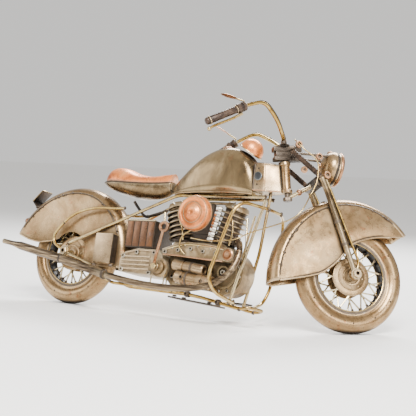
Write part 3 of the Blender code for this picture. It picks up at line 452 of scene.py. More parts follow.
def addBlobs(shape, points, size, seed, spread=0.5):
    # a run of weld beads
    dice = random.Random(seed)
    for point in points:
        bead = bmesh.new()
        bmesh.ops.create_icosphere(bead, subdivisions=2, radius=1.0)
        stretch = [size * dice.uniform(0.6, 1.25) for axis in range(3)]
        bmesh.ops.scale(bead, vec=stretch, verts=bead.verts)
        for vert in bead.verts:
            vert.co *= dice.uniform(0.9, 1.1)
        offset = Vector([dice.uniform(-spread, spread) for axis in range(3)])
        bmesh.ops.translate(bead, vec=Vector(point) + offset, verts=bead.verts)
        joinShape(shape, bead)


def curved(points, steps=6):
    # a smooth curve through every point
    points = [Vector(point) for point in points]
    padded = [2 * points[0] - points[1]] + points + [2 * points[-1] - points[-2]]
    route = []
    for p0, p1, p2, p3 in zip(padded, padded[1:], padded[2:], padded[3:]):
        for step in range(steps):
            t = step / steps
            slope = (p2 - p0) * t
            bow = (2 * p0 - 5 * p1 + 4 * p2 - p3) * t**2
            twist = (3 * p1 - p0 - 3 * p2 + p3) * t**3
            route.append(0.5 * (2 * p1 + slope + bow + twist))
    route.append(points[-1])
    return route


def bent(corners, bend, steps=8):
    # straight runs with a round bend at each corner
    corners = [Vector(point) for point in corners]
    route = [corners[0]]
    for before, corner, after in zip(corners, corners[1:], corners[2:]):
        reachIn = min(bend, (before - corner).length * 0.45)
        reachOut = min(bend, (after - corner).length * 0.45)
        start = corner + (before - corner).normalized() * reachIn
        end = corner + (after - corner).normalized() * reachOut
        for step in range(steps + 1):
            t = step / steps
            route.append(start * (1 - t) ** 2 + corner * 2 * t * (1 - t) + end * t**2)
    route.append(corners[-1])
    return route


def at(x, y, z):
    return Vector((x, y, z))


def wireRing(radius, along, size):
    # section of a wire bent into a hoop
    turns = [step * math.pi / 4 for step in range(8)]
    return [(radius + size * math.cos(turn), along + size * math.sin(turn)) for turn in turns]


def collar(inner, outer, low, high):
    # section of a plain ring
    return [(inner, low), (outer, low), (outer, high), (inner, high)]


def mirrored(points):
    return [at(point[0], -point[1], point[2]) for point in points]


def between(first, last, count):
    first = Vector(first)
    last = Vector(last)
    return [first.lerp(last, (step + 0.5) / count) for step in range(count)]


def aroundAxle(axle, radius, degrees, y=0.0):
    turn = math.radians(degrees)
    return at(axle.x + radius * math.cos(turn), y, axle.z + radius * math.sin(turn))


print("tools and finishes ready")

# wheels
wheel = {
    "halfWidth": 8.6, "seat": 35.0, "rimDepth": 2.8, "drum": 17.9, "drumFace": 9.0, "spokePairs": 9,
    "spoke": 0.8, "rivets": 12, "rivetRing": 43.2, "axle": 2.3, "inset": 0.25, "groove": 0.45,
    "grooveAt": 52.5,
}


def makeWheel(name, axle, where):
    outer = stance["wheelRadius"] - wheel["inset"]
    middle = wheel["seat"] + (outer - wheel["seat"]) / 2
    reach = outer - middle
    seat = 0.72 * wheel["halfWidth"]
    # tyre: a rolled tin ring with a fine groove near each tread edge
    section = [(wheel["seat"], -seat)]
    for step in range(37):
        angle = math.radians(-135 + 7.5 * step)
        groove = wheel["groove"] if abs(abs(math.degrees(angle)) - wheel["grooveAt"]) < 2 else 0.0
        section.append(
            (middle + (reach - groove) * math.cos(angle), (wheel["halfWidth"] - groove) * math.sin(angle)),
        )
    section.append((wheel["seat"], seat))
    make(name + "Tyre", "bronzeSheet", [
        (addLathe, section, axle, (0, 1, 0), 96, True),
    ], where, (name + "_tyre",), 50)
    studs = bmesh.new()
    for side in (-1, 1):
        for count in range(wheel["rivets"]):
            spot = aroundAxle(axle, wheel["rivetRing"], 360 * (count + 0.3) / wheel["rivets"], side * 8.35)
            addRivet(studs, spot, (0, side, 0), 0.95, 0.42)
            speck = aroundAxle(
                axle, wheel["rivetRing"] + 4.4, 360 * (count + 0.72) / wheel["rivets"], side * 6.9,
            )
            addRivet(studs, speck, (0, side, 0), 0.6, 0.4)
    newPiece(name + "TyreStuds", studs, "darkIron", where)
    # rim: black band between two bright lips
    high = wheel["seat"] - 0.3
    low = high - wheel["rimDepth"]
    lip = seat + 0.3
    band = [
        (low + 1.2, -lip + 2.4), (low + 0.2, -lip + 1.0), (low, -lip + 0.2), (high, -lip), (high, lip),
        (low, lip - 0.2), (low + 0.2, lip - 1.0), (low + 1.2, lip - 2.4),
    ]
    make(name + "Rim", "darkIron", [(addLathe, band, axle, (0, 1, 0), 96, True)], where, (name + "_rim",))
    lips = bmesh.new()
    for side in (-1, 1):
        addLathe(lips, wireRing(low + 0.35, side * lip, 0.6), axle, (0, 1, 0), 96, ring=True)
    newPiece(name + "RimLips", lips, "brassRod", where)
    # hub: two dished drums on a waisted barrel
    face = wheel["drumFace"]
    drum = wheel["drum"]
    half = [
        (wheel["axle"], face), (4.2, face), (4.6, face - 0.5), (6.4, face - 0.7), (7.0, face - 0.2),
        (8.2, face - 0.2), (8.8, face - 0.9), (12.6, face - 1.6), (13.2, face - 1.1), (15.8, face - 1.2),
        (drum - 0.5, face - 1.6), (drum, face - 2.1), (drum, face - 3.3), (drum - 0.5, face - 3.7),
        (5.4, face - 4.6), (4.4, face - 5.4),
    ]
    profile = half + [(radius, -along) for radius, along in reversed(half)]
    make(name + "Hub", "bronzeSheet", [
        (addLathe, profile, axle, (0, 1, 0), 56, True),
        *[
            (addRivet, aroundAxle(axle, 10.7, 45 * count, side * (face - 1.3)), (0, side, 0), 0.8, 0.55)
            for side in (-1, 1) for count in range(8)
        ],
    ], where, (name + "_hub",), 30)
    spokes = bmesh.new()
    nipples = bmesh.new()
    for side in (-1, 1):
        for count in range(wheel["spokePairs"]):
            around = 360 * (count + 0.25 * side) / wheel["spokePairs"]
            for lean in (-1, 1):
                foot = aroundAxle(axle, drum - 1.7, around - lean * 5, side * (face - 2.7 - 0.5 * (lean + 1)))
                tip = aroundAxle(axle, low + 0.4, around + lean * 13, side * 3.2)
                addTube(spokes, [foot, tip], wheel["spoke"], 8)
                addTube(nipples, [tip.lerp(foot, 0.16), tip], 1.25, 8)
    newPiece(name + "Spokes", spokes, "brassRod", where)
    newPiece(name + "Nipples", nipples, "darkIron", where)


makeWheel("rear", rearAxle, "rear_wheel")
makeWheel("front", frontAxle, "front_wheel")

axles = {"rear": 21.0, "front": 20.0, "nut": 4.3, "height": 2.9, "gap": 0.3}


def makeAxle(name, axle, where, halfLength, node):
    bolt = bmesh.new()
    addTube(bolt, [axle - at(0, halfLength, 0), axle + at(0, halfLength, 0)], 2.0, 16)
    for side in (-1, 1):
        face = axle + at(0, side * (halfLength + axles["gap"]), 0)
        addLathe(bolt, collar(1.4, 4.9, -0.25, 0.3), face, (0, side, 0), 28, ring=True)
        addNut(bolt, face + at(0, side * 0.3, 0), (0, side, 0), axles["nut"], axles["height"] - 0.3, 1.5)
        addLathe(bolt, [(0, 0.9), (1.5, 0.9)], face, (0, side, 0), 12)
    newPiece(name, bolt, "steel", where, (node,), 30)


makeAxle("rearAxleBolt", rearAxle, "frame", axles["rear"], "rear_axle")
makeAxle("frontAxleBolt", frontAxle, "fork", axles["front"], "front_axle")
print("wheels done")

# fenders
fender = {
    "halfWidth": 13.6, "rise": 8.0, "sheet": 0.8, "roll": 0.95, "bead": 1.3, "inset": 0.15, "pressed": 0.35,
    "drop": 0.5,
}
rearFender = {
    "seam": 61.4, "flare": (2.0, 10.0), "arc": (-12, 167),
    "tail": ((-57, 11.5), (-43, 9.2), (-30, 10.2), (-21, 11.5)), "drumArc": (140, -20), "toe": (33, -13.0),
}
frontFender = {
    "seam": 66.6, "flare": (-1.6, 5.0), "arc": (46, 195.5),
    "edge": (
        (-47, -11.5), (-33, -5.3), (-24, 2), (-16, 11.5), (-11.5, 19), (-7, 26.5), (2, 33.5), (16, 39.8),
        (31, 43.7),
    ),
}


def seamRadius(spec, degrees):
    start, end = spec["arc"]
    t = (degrees - start) / (end - start)
    first = spec["flare"][0] * max(0, 1 - t / 0.35) ** 2
    last = spec["flare"][1] * max(0, (t - 0.6) / 0.4) ** 2
    return spec["seam"] + first + last


def arcSteps(spec, count):
    start, end = spec["arc"]
    return [start + (end - start) * step / count for step in range(count + 1)]


def makeCrown(name, spec, axle, where, node):
    crown = bmesh.new()
    rings = []
    for degrees in arcSteps(spec, 64):
        edge = seamRadius(spec, degrees) + 0.35
        ring = []
        for step in range(19):
            across = math.pi * step / 18
            # a little squarer than a half circle, with a pressed line along the middle
            width = (fender["halfWidth"] - fender["inset"]) * math.cos(across)
            pressed = fender["pressed"] if step in (8, 10) else 0.0
            height = edge - fender["drop"] + fender["rise"] * math.sin(across) - pressed
            ring.append(crown.verts.new(aroundAxle(axle, height, degrees, width)))
        rings.append(ring)
    skin(crown, rings, closed=False, startCap=False, endCap=False)
    newPiece(name, crown, "bronzeSheet", where, (node,), 60, thick=fender["sheet"])


def makeFenderSide(name, outline, side, where, node):
    outer = side * fender["halfWidth"]
    inner = side * (fender["halfWidth"] - fender["sheet"])
    make(name, "bronzeSheet", [
        (addPlate, outline, min(outer, inner), max(outer, inner), 0.25),
    ], where, (node,), 30)


def seamOutline(spec, axle, count):
    points = [aroundAxle(axle, seamRadius(spec, degrees), degrees) for degrees in arcSteps(spec, count)]
    return [(point.x, point.z) for point in points]


def offsets(axle, pairs):
    return [(axle.x + x, axle.z + z) for x, z in pairs]


def flat(points, y):
    return [at(x, y, z) for x, z in points]


makeCrown("rearFenderCrown", rearFender, rearAxle, "frame", "rear_fender_crown")
makeCrown("frontFenderCrown", frontFender, frontAxle, "fork", "front_fender_crown")
tailEdge = [
    (point.x, point.z)
    for point in curved([(x, 0, z) for x, z in offsets(rearAxle, rearFender["tail"])], 5)
]
drumStart, drumEnd = rearFender["drumArc"]
drumEdge = []
for step in range(15):
    spot = aroundAxle(rearAxle, wheel["drum"] + 3.0, drumStart + (drumEnd - drumStart) * step / 14)
    drumEdge.append((spot.x, spot.z))
rearOutline = seamOutline(rearFender, rearAxle, 48) + tailEdge + drumEdge
rearOutline += offsets(rearAxle, (rearFender["toe"],))
frontEdge = [
    (point.x, point.z)
    for point in curved([(x, 0, z) for x, z in offsets(frontAxle, frontFender["edge"])], 5)
]
frontOutline = seamOutline(frontFender, frontAxle, 48) + frontEdge
rearEnd = rearFender["arc"][1]
frontEnd = frontFender["arc"][1]
for side, word in ((-1, "right"), (1, "left")):
    proud = side * (fender["halfWidth"] + 0.1)
    makeFenderSide("rearFenderSide." + word, rearOutline, side, "frame", "rear_fender_side_" + word)
    makeFenderSide("frontFenderSide." + word, frontOutline, side, "fork", "front_fender_side_" + word)
    # rolled wire along the free edges
    lastSeam = aroundAxle(rearAxle, seamRadius(rearFender, rearEnd), rearEnd, proud)
    make("rearFenderRoll." + word, "bronzeSheet", [
        (addTube, [lastSeam] + flat(tailEdge, proud), fender["roll"], 10),
    ])
    lastSeam = aroundAxle(frontAxle, seamRadius(frontFender, frontEnd), frontEnd, proud)
    make("frontFenderRoll." + word, "bronzeSheet", [
        (addTube, [lastSeam] + flat(frontEdge, proud), fender["roll"], 10),
    ], "fork")
    make("frontFenderHem." + word, "darkIron", [
        (
            addTube,
            [lastSeam] + [(x, side * (fender["halfWidth"] + 0.55), z + 1.25) for x, z in frontEdge[:-2]], 0.4,
            6,
        ),
    ], "fork")
    # dark solder line and beads along the seams
    for title, spec, axle, where, run, seed in (
        ("rear", rearFender, rearAxle, "frame", (20, 160), 3),
        ("front", frontFender, frontAxle, "fork", (60, 192), 7),
    ):
        line = bmesh.new()
        degrees = [run[0] + (run[1] - run[0]) * step / 60 for step in range(61)]
        addTube(
            line, [aroundAxle(axle, seamRadius(spec, angle) + 0.2, angle, proud) for angle in degrees], 0.62,
            6,
        )
        dice = random.Random(seed)
        spots = []
        for bead in range(26 if title == "front" else 20):
            angle = dice.uniform(*run)
            if title == "front" and bead > 9:
                angle = dice.uniform(150, 192)
            if title == "rear" and bead > 11:
                angle = dice.uniform(110, 160)
            spots.append(aroundAxle(axle, seamRadius(spec, angle) + 0.2, angle, proud))
        addBlobs(line, spots, fender["bead"], seed, 0.35)
        newPiece(title + "FenderSolder." + word, line, "darkIron", where)
print("fenders done")

# frame tubes
rods = {"thick": 1.6, "hoop": 1.4, "weld": 1.5}
upperRail = ((-149.5, -19.8, 60.2), (-31.0, -9.0, railHeight), (headMiddle.x - 15.0, -7.5, railHeight))
downRight = ((68.05, -10.2, 110.62), (44.05, -14.0, 12.0))
downLeft = ((65.05, 3.2, 119.02), (55.05, 13.2, 64.0), (44.05, 14.0, 12.0))
cradle = ((-118, -14, 36), (-94, -14, 23.5), (-20, -14, 20), (14, -14, 15.5), (56, -14, 7.4), (66, -14, 9.5))
hoop = (
    (68, 45.6), (55, 45.2), (42, 45.6), (30, 45), (17, 42.4), (5, 37.8), (-6, 29.6), (-14.5, 20), (-17, 12.5),
    (-14, 7), (-8.5, 3.6), (-3.6, 1.6),
)
crashBar = (
    (51, -17.5, 12.5), (42, -39, 18.5), (37, -45, 32), (55, -45, 94), (60.55, -38, 103), (73.55, -12, 101.5),
    (73.55, 12, 101.5), (62.55, 38, 101), (60, 45, 90), (53, 45, 32), (50, 39, 18.5), (53, 17.5, 12),
)


def makeRod(name, route, finish, where, replaces=(), radius=1.6, welds=(), seed=1):
    rod = bmesh.new()
    addTube(rod, route, radius, 14)
    piece = newPiece(name, rod, finish, where, replaces)
    if welds:
        spots = [Vector(spot) + at(0, 0, lift) for spot in welds for lift in (-0.7, 0.0, 0.7)]
        make(name + "Welds", "darkIron", [(addBlobs, spots, rods["weld"], seed, 0.6)], where)
    return piece


for side, word in ((-1, "right"), (1, "left")):
    rail = [at(x, -side * y, z) for x, y, z in upperRail]
    makeRod(
        "upperRail." + word, bent(rail, 7), "brassRod", "frame", ("upper_rail_" + word,), rods["thick"],
        (rail[0], rail[2]), 11,
    )
    ear = rearAxle + at(0, side * 20.2, 0)
    line = [at(rearAxle.x + x, side * 20.2, rearAxle.z + z) for x, z in hoop]
    low, high = sorted((side * 19.4, side * 21.0))
    make("fenderHoop." + word, "brassRod", [
        (addTube, curved(line, 6), rods["hoop"], 12),
        (addLathe, collar(2.3, 5.3, low - ear.y, high - ear.y), ear, (0, 1, 0), 36, True),
    ], replaces=("fender_hoop_" + word,), sharp=40)
    make("fenderHoopWelds." + word, "darkIron", [(addBlobs, [line[0], line[6], line[-1]], 1.7, 21, 0.5)])
makeRod("downtube.right", bent(downRight, 4), "brassRod", "frame", ("downtube_right",), 1.6, downRight, 31)
makeRod(
    "downtube.left", bent(downLeft, 8), "brassRod", "frame", ("downtube_left",), 1.6,
    (downLeft[0], downLeft[2]), 32,
)
loop = [Vector(point) for point in cradle] + list(reversed(mirrored(cradle)))
makeRod(
    "lowerCradle", bent(loop, 6), "brassRod", "frame", ("lower_cradle",), 1.6,
    (loop[0], loop[2], loop[4], loop[7], loop[9], loop[11]), 33,
)
makeRod(
    "crashBar", bent(crashBar, 8), "brassRod", "frame", ("crash_bar",), 1.6,
    (crashBar[0], crashBar[-1], crashBar[5], crashBar[6]), 34,
)

# clamps and short struts on the lower loop
lower = bmesh.new()
for x, z in ((-2.0, 17.6), (33.0, 12.0)):
    addLathe(
        lower, [(0, -2.3), (2.7, -2.3), (3.0, -1.7), (3.0, 1.7), (2.7, 2.3), (0, 2.3)], (x, -14, z),
        (1, 0, -0.1), 18,
    )
    addNut(lower, (x, -16.6, z), (0, -1, 0), 1.9, 1.3, 0.6)
newPiece("cradleClamps", lower, "darkIron")
make("cradleStruts", "brassRod", [
    *[(addTube, [(x, -15.2, 20.6), (x + 0.4, -15.0, 32.0)], 0.75, 10) for x in (-46.0, -31.0, -27.5)],
])
make("underPlate", "darkIron", [
    (addPlate, ((-26, 13.6), (26, 8.6), (26, 10.2), (-26, 15.2)), -11.5, 11.5, 0.3),
    *[
        (addNut, (x, y, z), (0, 0, 1), 2.2, 1.6, 0.7)
        for x, z in ((-20, 15.0), (20, 11.0)) for y in (-8.5, 8.5)
    ],
])
print("frame tubes done")

# head of the frame, neck and dash
headFoot = stemFoot + stemWay * 80
headLength = 30.0
headProfile = [
    (2.8, 0), (4.8, 0), (5.0, 0.6), (5.0, 2.8), (4.2, 3.6), (4.0, 5.0), (4.0, headLength - 5.0),
    (4.2, headLength - 3.6), (5.0, headLength - 2.8), (5.0, headLength - 0.6), (4.8, headLength),
    (2.8, headLength),
]
make("headTube", "bronzeSheet", [
    (addLathe, headProfile, headFoot, stemWay, 36, True),
], replaces=("head_tube",), sharp=30)

neck = {"back": 53.2, "low": railHeight + 5.5, "top": railHeight + 32.9}


def neckFront(z):
    return headMiddle.x - (z - headMiddle.z) * math.tan(rake) - 4.6 / math.cos(rake)


neckShape = bmesh.new()
neckRings = []
for share in (0.0, 0.08, 0.25, 0.42, 0.45, 0.48, 0.7, 0.97, 1.0):
    half = 11.5 - 1.5 * share / 0.45 if share < 0.45 else 10.0 - 6.0 * (share - 0.45) / 0.55
    shrink = 0.35 if share in (0.45, 0.0, 1.0) else 0.0
    half -= shrink
    ring = []
    for y, z in (
        (-half, neck["low"]), (-half, neck["low"] + 9), (-half, neck["top"] - 3.4),
        (-half + 1.2, neck["top"] - 1.0),
        (-half + 3.4, neck["top"]), (half - 3.4, neck["top"]), (half - 1.2, neck["top"] - 1.0),
        (half, neck["top"] - 3.4), (half, neck["low"] + 9), (half, neck["low"]),
    ):
        ring.append(neckShape.verts.new((neck["back"] + share * (neckFront(z) - neck["back"]), y, z)))
    neckRings.append(ring)
skin(neckShape, neckRings)
newPiece("neckCover", neckShape, "bronzeSheet", "frame", ("neck_cover",), 24)
neckTrim = bmesh.new()
for side in (-1, 1):
    foot = [
        (neck["back"], side * 11.5, neck["low"] + 0.5), (neck["back"] + 8, side * 10.4, neck["low"] + 0.5),
        (neckFront(neck["low"]) - 0.4, side * 4.4, neck["low"] + 0.5),
    ]
    addTube(neckTrim, foot, 0.75, 8)
newPiece("neckEdge", neckTrim, "dullCopper")
neckBolts = bmesh.new()
for side in (-1, 1):
    for x, y, z in ((57.0, 11.2, 125.6), (57.0, 11.2, 141.0), (61.5, 10.5, 133.0)):
        addRivet(neckBolts, (x, side * (y - 0.1), z), (0, side, 0), 0.9, 0.6)
for side in (-1, 1):
    addTube(
        neckBolts, [(53.4, side * 11.6, 120.4), (53.4, side * 11.6, 144.6), (53.6, side * 8.4, 147.0)], 0.6,
        8,
    )
    addTube(
        neckBolts, [(53.6, side * 8.4, 146.9), (62.0, side * 6.6, 146.9), (70.4, side * 1.6, 146.9)], 0.5, 8,
    )
newPiece("neckRivets", neckBolts, "darkIron")
make("neckPanels", "blued", [
    *[
        (
            addLathe, [(0, 0), (3.9, 0), (4.1, 0.25), (3.7, 0.6), (3.2, 0.45), (0, 0.5)],
            (56.9, side * 11.0, 133.6), (0.13, side, 0), 28,
        )
        for side in (-1, 1)
    ],
])

dash = {"place": (40.0, 0, 160.43), "aim": (0.56, 0, 0.83), "radius": 12.0}
dome = bmesh.new()
domeProfile = [(0, -1.2), (12.4, -1.2), (12.5, -0.4), (11.9, 0.2)]
for step in range(17):
    angle = math.pi / 2 * step / 16
    domeProfile.append(
        (max(dash["radius"] * math.cos(angle) * 0.985, 0), 0.4 + (dash["radius"] - 0.4) * math.sin(angle)),
    )
domeProfile[-1] = (0, dash["radius"])
addLathe(dome, domeProfile, dash["place"], dash["aim"], 56)
newPiece("dashDome", dome, "copper", "frame", ("dash_cover",), 40)
make("dashWire", "brassRod", [(addLathe, wireRing(12.35, -0.5, 0.55), dash["place"], dash["aim"], 56, True)])

# tank
tankSpec = {
    "back": -40.0, "length": 92.0, "half": 18.5, "height": 46.5,
    "shape": (
        (0.0, 0.2, 0.3), (0.05, 0.3, 0.42), (0.14, 0.47, 0.62), (0.26, 0.68, 0.82), (0.4, 0.87, 0.95),
        (0.54, 0.98, 1.0), (0.68, 1.0, 1.0), (0.8, 0.95, 0.95), (0.9, 0.82, 0.86), (0.97, 0.62, 0.74),
        (1.0, 0.44, 0.64),
    ),
}
tank = bmesh.new()
stations = curved(tankSpec["shape"], 4)
rings = []
for along, tall, broad in stations:
    ring = []
    for step in range(33):
        angle = math.pi * step / 32
        side = math.copysign(abs(math.cos(angle)) ** 0.62, math.cos(angle)) if step != 16 else 0.0
        rise = abs(math.sin(angle)) ** 0.70
        tuck = 1.0 - 0.12 * (1 - rise)
        y = -tankSpec["half"] * min(broad, 1.0) * side * tuck
        z = tankBase + tankSpec["height"] * min(tall, 1.0) * rise
        ring.append(tank.verts.new((tankSpec["back"] + tankSpec["length"] * min(max(along, 0), 1), y, z)))
    rings.append(ring)
skin(tank, rings, closed=False)
newPiece("tankShell", tank, "oliveBronze", "frame", ("tank",), 50, thick=0.8)
tankLip = bmesh.new()
for side in (-1, 1):
    edgeLine = []
    for along, tall, broad in stations:
        x = tankSpec["back"] + tankSpec["length"] * min(max(along, 0), 1)
        edgeLine.append((x, side * tankSpec["half"] * min(broad, 1.0) * 0.88, tankBase + 0.5))
    addTube(tankLip, edgeLine, 0.7, 8)
newPiece("tankLip", tankLip, "bronzeSheet")
make("tankCap", "dullCopper", [
    (
        addLathe, [(0, 0), (5.4, 0), (5.6, 0.5), (5.6, 1.5), (5.0, 2.0), (4.2, 2.1), (3.6, 2.8), (0, 3.0)],
        (14.0, 0, tankBase + tankSpec["height"] - 0.5), (-0.03, 0, 1), 32,
    ),
])
make("tankStraps", "darkIron", [
    *[(addBox, (3.0, 15.0, 1.3), (x, 0, railHeight + 1.8), None, 0.3) for x in (-22.0, 44.0)],
])
print("tank, neck and dash done")

# seat
seatRim = railHeight + 11.0
seatTopStations = (
    (-122.5, 6, 1.0, 5.0), (-118, 13.5, 0.6, 13.0), (-110, 19, 0, 17.5), (-97, 20.5, -0.6, 16.5),
    (-82, 18, -0.8, 11.5), (-66, 13.5, 0, 9.0), (-53, 9.5, 1.2, 9.5), (-43, 6.5, 2.4, 9.5),
)
seatPanStations = (
    (-125.5, 6, 1.0, 1.8), (-118, 14.5, 0.6, 5.0), (-109, 20, 0, 8.0), (-96, 21.5, -0.6, 10.6),
    (-82, 19, -0.8, 12.8), (-66, 14, 0, 14.2), (-53, 9.8, 1.2, 13.6), (-44, 7, 2.4, 10.5),
)


def flatCurve(stations, steps):
    # a smooth curve through rows of four numbers
    padded = [[2 * a - b for a, b in zip(stations[0], stations[1])]] + [list(row) for row in stations]
    padded += [[2 * a - b for a, b in zip(stations[-1], stations[-2])]]
    rows = []
    for p0, p1, p2, p3 in zip(padded, padded[1:], padded[2:], padded[3:]):
        for step in range(steps):
            t = step / steps
            row = []
            for a, b, c, d in zip(p0, p1, p2, p3):
                bow = (2 * a - 5 * b + 4 * c - d) * t ** 2
                twist = (3 * b - a - 3 * c + d) * t ** 3
                row.append(0.5 * (2 * b + (c - a) * t + bow + twist))
            rows.append(row)
    rows.append(list(stations[-1]))
    return rows


def makeShell(name, stations, upward, gap, finish, node):
    shell = bmesh.new()
    rings = []
    for x, half, rim, depth in flatCurve(stations, 5):
        ring = []
        for step in range(25):
            angle = math.pi * step / 24
            height = seatRim + rim + gap + upward * depth * math.sin(angle) ** 0.9
            ring.append(shell.verts.new((x, -half * math.cos(angle), height)))
        rings.append(ring)
    skin(shell, rings, closed=False)
    newPiece(name, shell, finish, "frame", (node,), 55, thick=0.8)


makeShell("seatTop", seatTopStations, 1, 0.3, "copper", "seat_top")
makeShell("seatPan", seatPanStations, -1, -0.3, "steel", "seat_pan")
seatSeam = bmesh.new()
for side in (-1, 1):
    line = [(x, side * (half - 0.1), seatRim + rim) for x, half, rim, depth in flatCurve(seatPanStations, 5)]
    addTube(seatSeam, line, 0.55, 8)
newPiece("seatSeam", seatSeam, "darkIron")
make("seatNose", "bronzeSheet", [(addBox, (4.2, 10.5, 7.0), (-44.5, 0, seatRim - 1.0), None, 0.9)])
make("seatPost", "darkIron", [
    (addTube, bent(((-89, 0, seatRim - 16.5), (-84, 0, 103), (-73, 0, 92.5), (-47, 0, 100)), 5), 1.5, 14),
], replaces=("seat_post",))
print("seat done")

# tool box, plate holder and tail lamp
make("toolBox", "bronzeSheet", [
    (addBox, (21.5, 9.0, 30.5), (-103.5, -18.4, 56.5), None, 1.5),
], replaces=("tool_box",), sharp=30)
make("toolBoxTrim", "darkIron", [
    (addBox, (0.5, 7.6, 28.6), (-92.7, -18.4, 56.5), None, 0.2),
    *[(addNut, (x, -19.5, 41.0), (0, 0, -1), 2.0, 2.4, 0.8) for x in (-113.6, -93.4)],
])


def crownSpot(degrees, lift):
    spot = aroundAxle(rearAxle, seamRadius(rearFender, degrees) + fender["rise"] + lift, degrees)
    turn = math.radians(degrees)
    return spot, at(math.cos(turn), 0, math.sin(turn))


holderFoot, outward = crownSpot(135, 1.2)
alongCrown = at(-outward.z, 0, outward.x)
outline = []
bentPlate = ((0, 0), (2.0, 0), (2.0, 9.0), (18.0, 9.0), (18.0, 10.0), (0.9, 10.0), (0.9, 1.0), (0, 1.0))
for along, out in bentPlate:
    spot = holderFoot - alongCrown * (along - 9.0) + outward * out
    outline.append((spot.x, spot.z))
make("plateHolder", "darkIron", [(addPlate, outline, -8.0, 8.0, 0.2)], replaces=("plate_holder",), sharp=30)
holderRim = bmesh.new()
corners = []
for along, y in ((1.2, -7.9), (17.9, -7.9), (17.9, 7.9), (1.2, 7.9)):
    corner = holderFoot - alongCrown * (along - 9.0) + outward * 9.7
    corners.append(at(corner.x, y, corner.z))
addTube(holderRim, bent(corners + [corners[0]], 1.2, 4), 0.5, 8)
newPiece("plateHolderRim", holderRim, "brassRod")
tailFoot, tailWay = crownSpot(156, 1.2)
make("tailLamp", "dullCopper", [
    (
        addLathe,
        [(0, 0), (4.0, 0), (4.15, 0.5), (4.0, 1.1), (4.0, 2.2), (3.6, 3.4), (3.0, 4.5), (1.8, 5.5), (0, 5.9)],
        tailFoot, tailWay, 36,
    ),
], replaces=("tail_lamp",), sharp=30)
feet = bmesh.new()
for degrees, lift in ((156, 0.6), (139, 0.6)):
    spot, way = crownSpot(degrees, -0.2)
    addLathe(feet, collar(0, 2.6, 0, 1.5), spot, way, 20)
newPiece("crownFeet", feet, "darkIron")
# flattened brass strip from the axle to the toe of the fender
make("toeStrips", "brassRod", [
    *[
        (
            addTube, [(-150.0, side * 19.6, 50.0), (-133, side * 17.4, 44.6), (-121.5, side * 14.9, 40.2)],
            (1.5, 1.2, 1.0), 10,
        )
        for side in (-1, 1)
    ],
])
print("rear trim done")

# engine
def arc(centre, radius, start, end, steps):
    spots = []
    for step in range(steps + 1):
        turn = math.radians(start + (end - start) * step / steps)
        spots.append((centre[0] + radius * math.cos(turn), centre[1] + radius * math.sin(turn)))
    return spots


drumCentre = (33.0, 40.5)
caseOutline = arc(drumCentre, 21.5, -115, 75, 28)
caseOutline += [(28, 68), (-26, 68), (-29.8, 64), (-29.8, 30), (-26, 26), (8, 24)]
make("crankcase", "castAlloy", [(addPlate, caseOutline, -11.0, 11.0, 0.9)], replaces=("crankcase",), sharp=30)
rings = bmesh.new()
for side in (-1, 1):
    face = at(drumCentre[0], side * 11.0, drumCentre[1])
    addLathe(
        rings,
        [
            (0, 0.4), (4.0, 0.4), (4.6, 1.5), (6.4, 1.5), (7.0, 0.5), (13.0, 0.5), (13.6, 1.1), (15.4, 1.1),
            (16.0, 0.4), (19.6, 0.4), (20.0, -0.2), (20.6, -0.2), (20.6, -0.5), (0, -0.5),
        ],
        face, (0, side, 0), 56,
    )
newPiece("drumFaces", rings, "oliveBronze", "frame", sharp=30)
caseNuts = bmesh.new()
for side in (-1, 1):
    for degrees in range(-100, 60, 30):
        turn = math.radians(degrees)
        spot = (drumCentre[0] + 18.0 * math.cos(turn), side * 11.2, drumCentre[1] + 18.0 * math.sin(turn))
        addNut(caseNuts, spot, (0, side, 0), 1.5, 1.2, 0.55)
    for x, z in ((-24, 61), (-24, 34), (-6, 29)):
        addNut(caseNuts, (x, side * 11.0, z), (0, side, 0), 1.9, 1.4, 0.7)
addNut(caseNuts, (drumCentre[0], -12.3, drumCentre[1]), (0, -1, 0), 2.6, 1.7, 1.0)
newPiece("caseNuts", caseNuts, "silverNut", "frame", sharp=30)

timingOutline = [(-31, 58.5), (-18, 63.0), (-3, 66.2), (20, 64.8), (42, 62)]
timingOutline += arc((43, 55.6), 6.6, 80, -80, 12) + [(38, 49.6), (18, 50.6), (-12, 52.8), (-29, 53.4)]
make("timingCover", "castAlloy", [
    (addPlate, timingOutline, -24.3, -11.3, 1.1),
], replaces=("timing_cover",), sharp=30)
inner = [(-27, 57.6), (-17, 60.9), (-3, 63.9), (20, 62.6), (38, 60.4)]
make("timingRidge", "brassRod", [(addTube, [(x, -24.3, z) for x, z in inner], 0.8, 8)])
make("timingCopper", "dullCopper", [
    (addTube, [(x, -23.9, z) for x, z in ((-29, 53.2), (-12, 52.6), (18, 50.4), (38, 49.4))], 0.9, 8),
    (
        addLathe, [(0, 0), (5.2, 0), (5.5, 0.6), (4.6, 1.3), (3.4, 1.2), (3.0, 2.0), (0, 2.2)],
        (43.0, -24.2, 55.6), (0, -1, 0), 32,
    ),
])
make("timingNuts", "silverNut", [
    *[
        (addNut, (x, -24.2, z), (0, -1, 0), 2.1, 1.8, 0.9)
        for x, z in ((-26.5, 55.6), (-12, 57.6), (2, 59.5), (16, 57.6), (30, 56.4))
    ],
    *[
        (addRivet, (x, -24.2, z), (0, -1, 0), 0.9, 0.6)
        for x, z in ((-19, 59.2), (-5, 62.6), (9, 62.2), (23, 60.6))
    ],
], sharp=30)

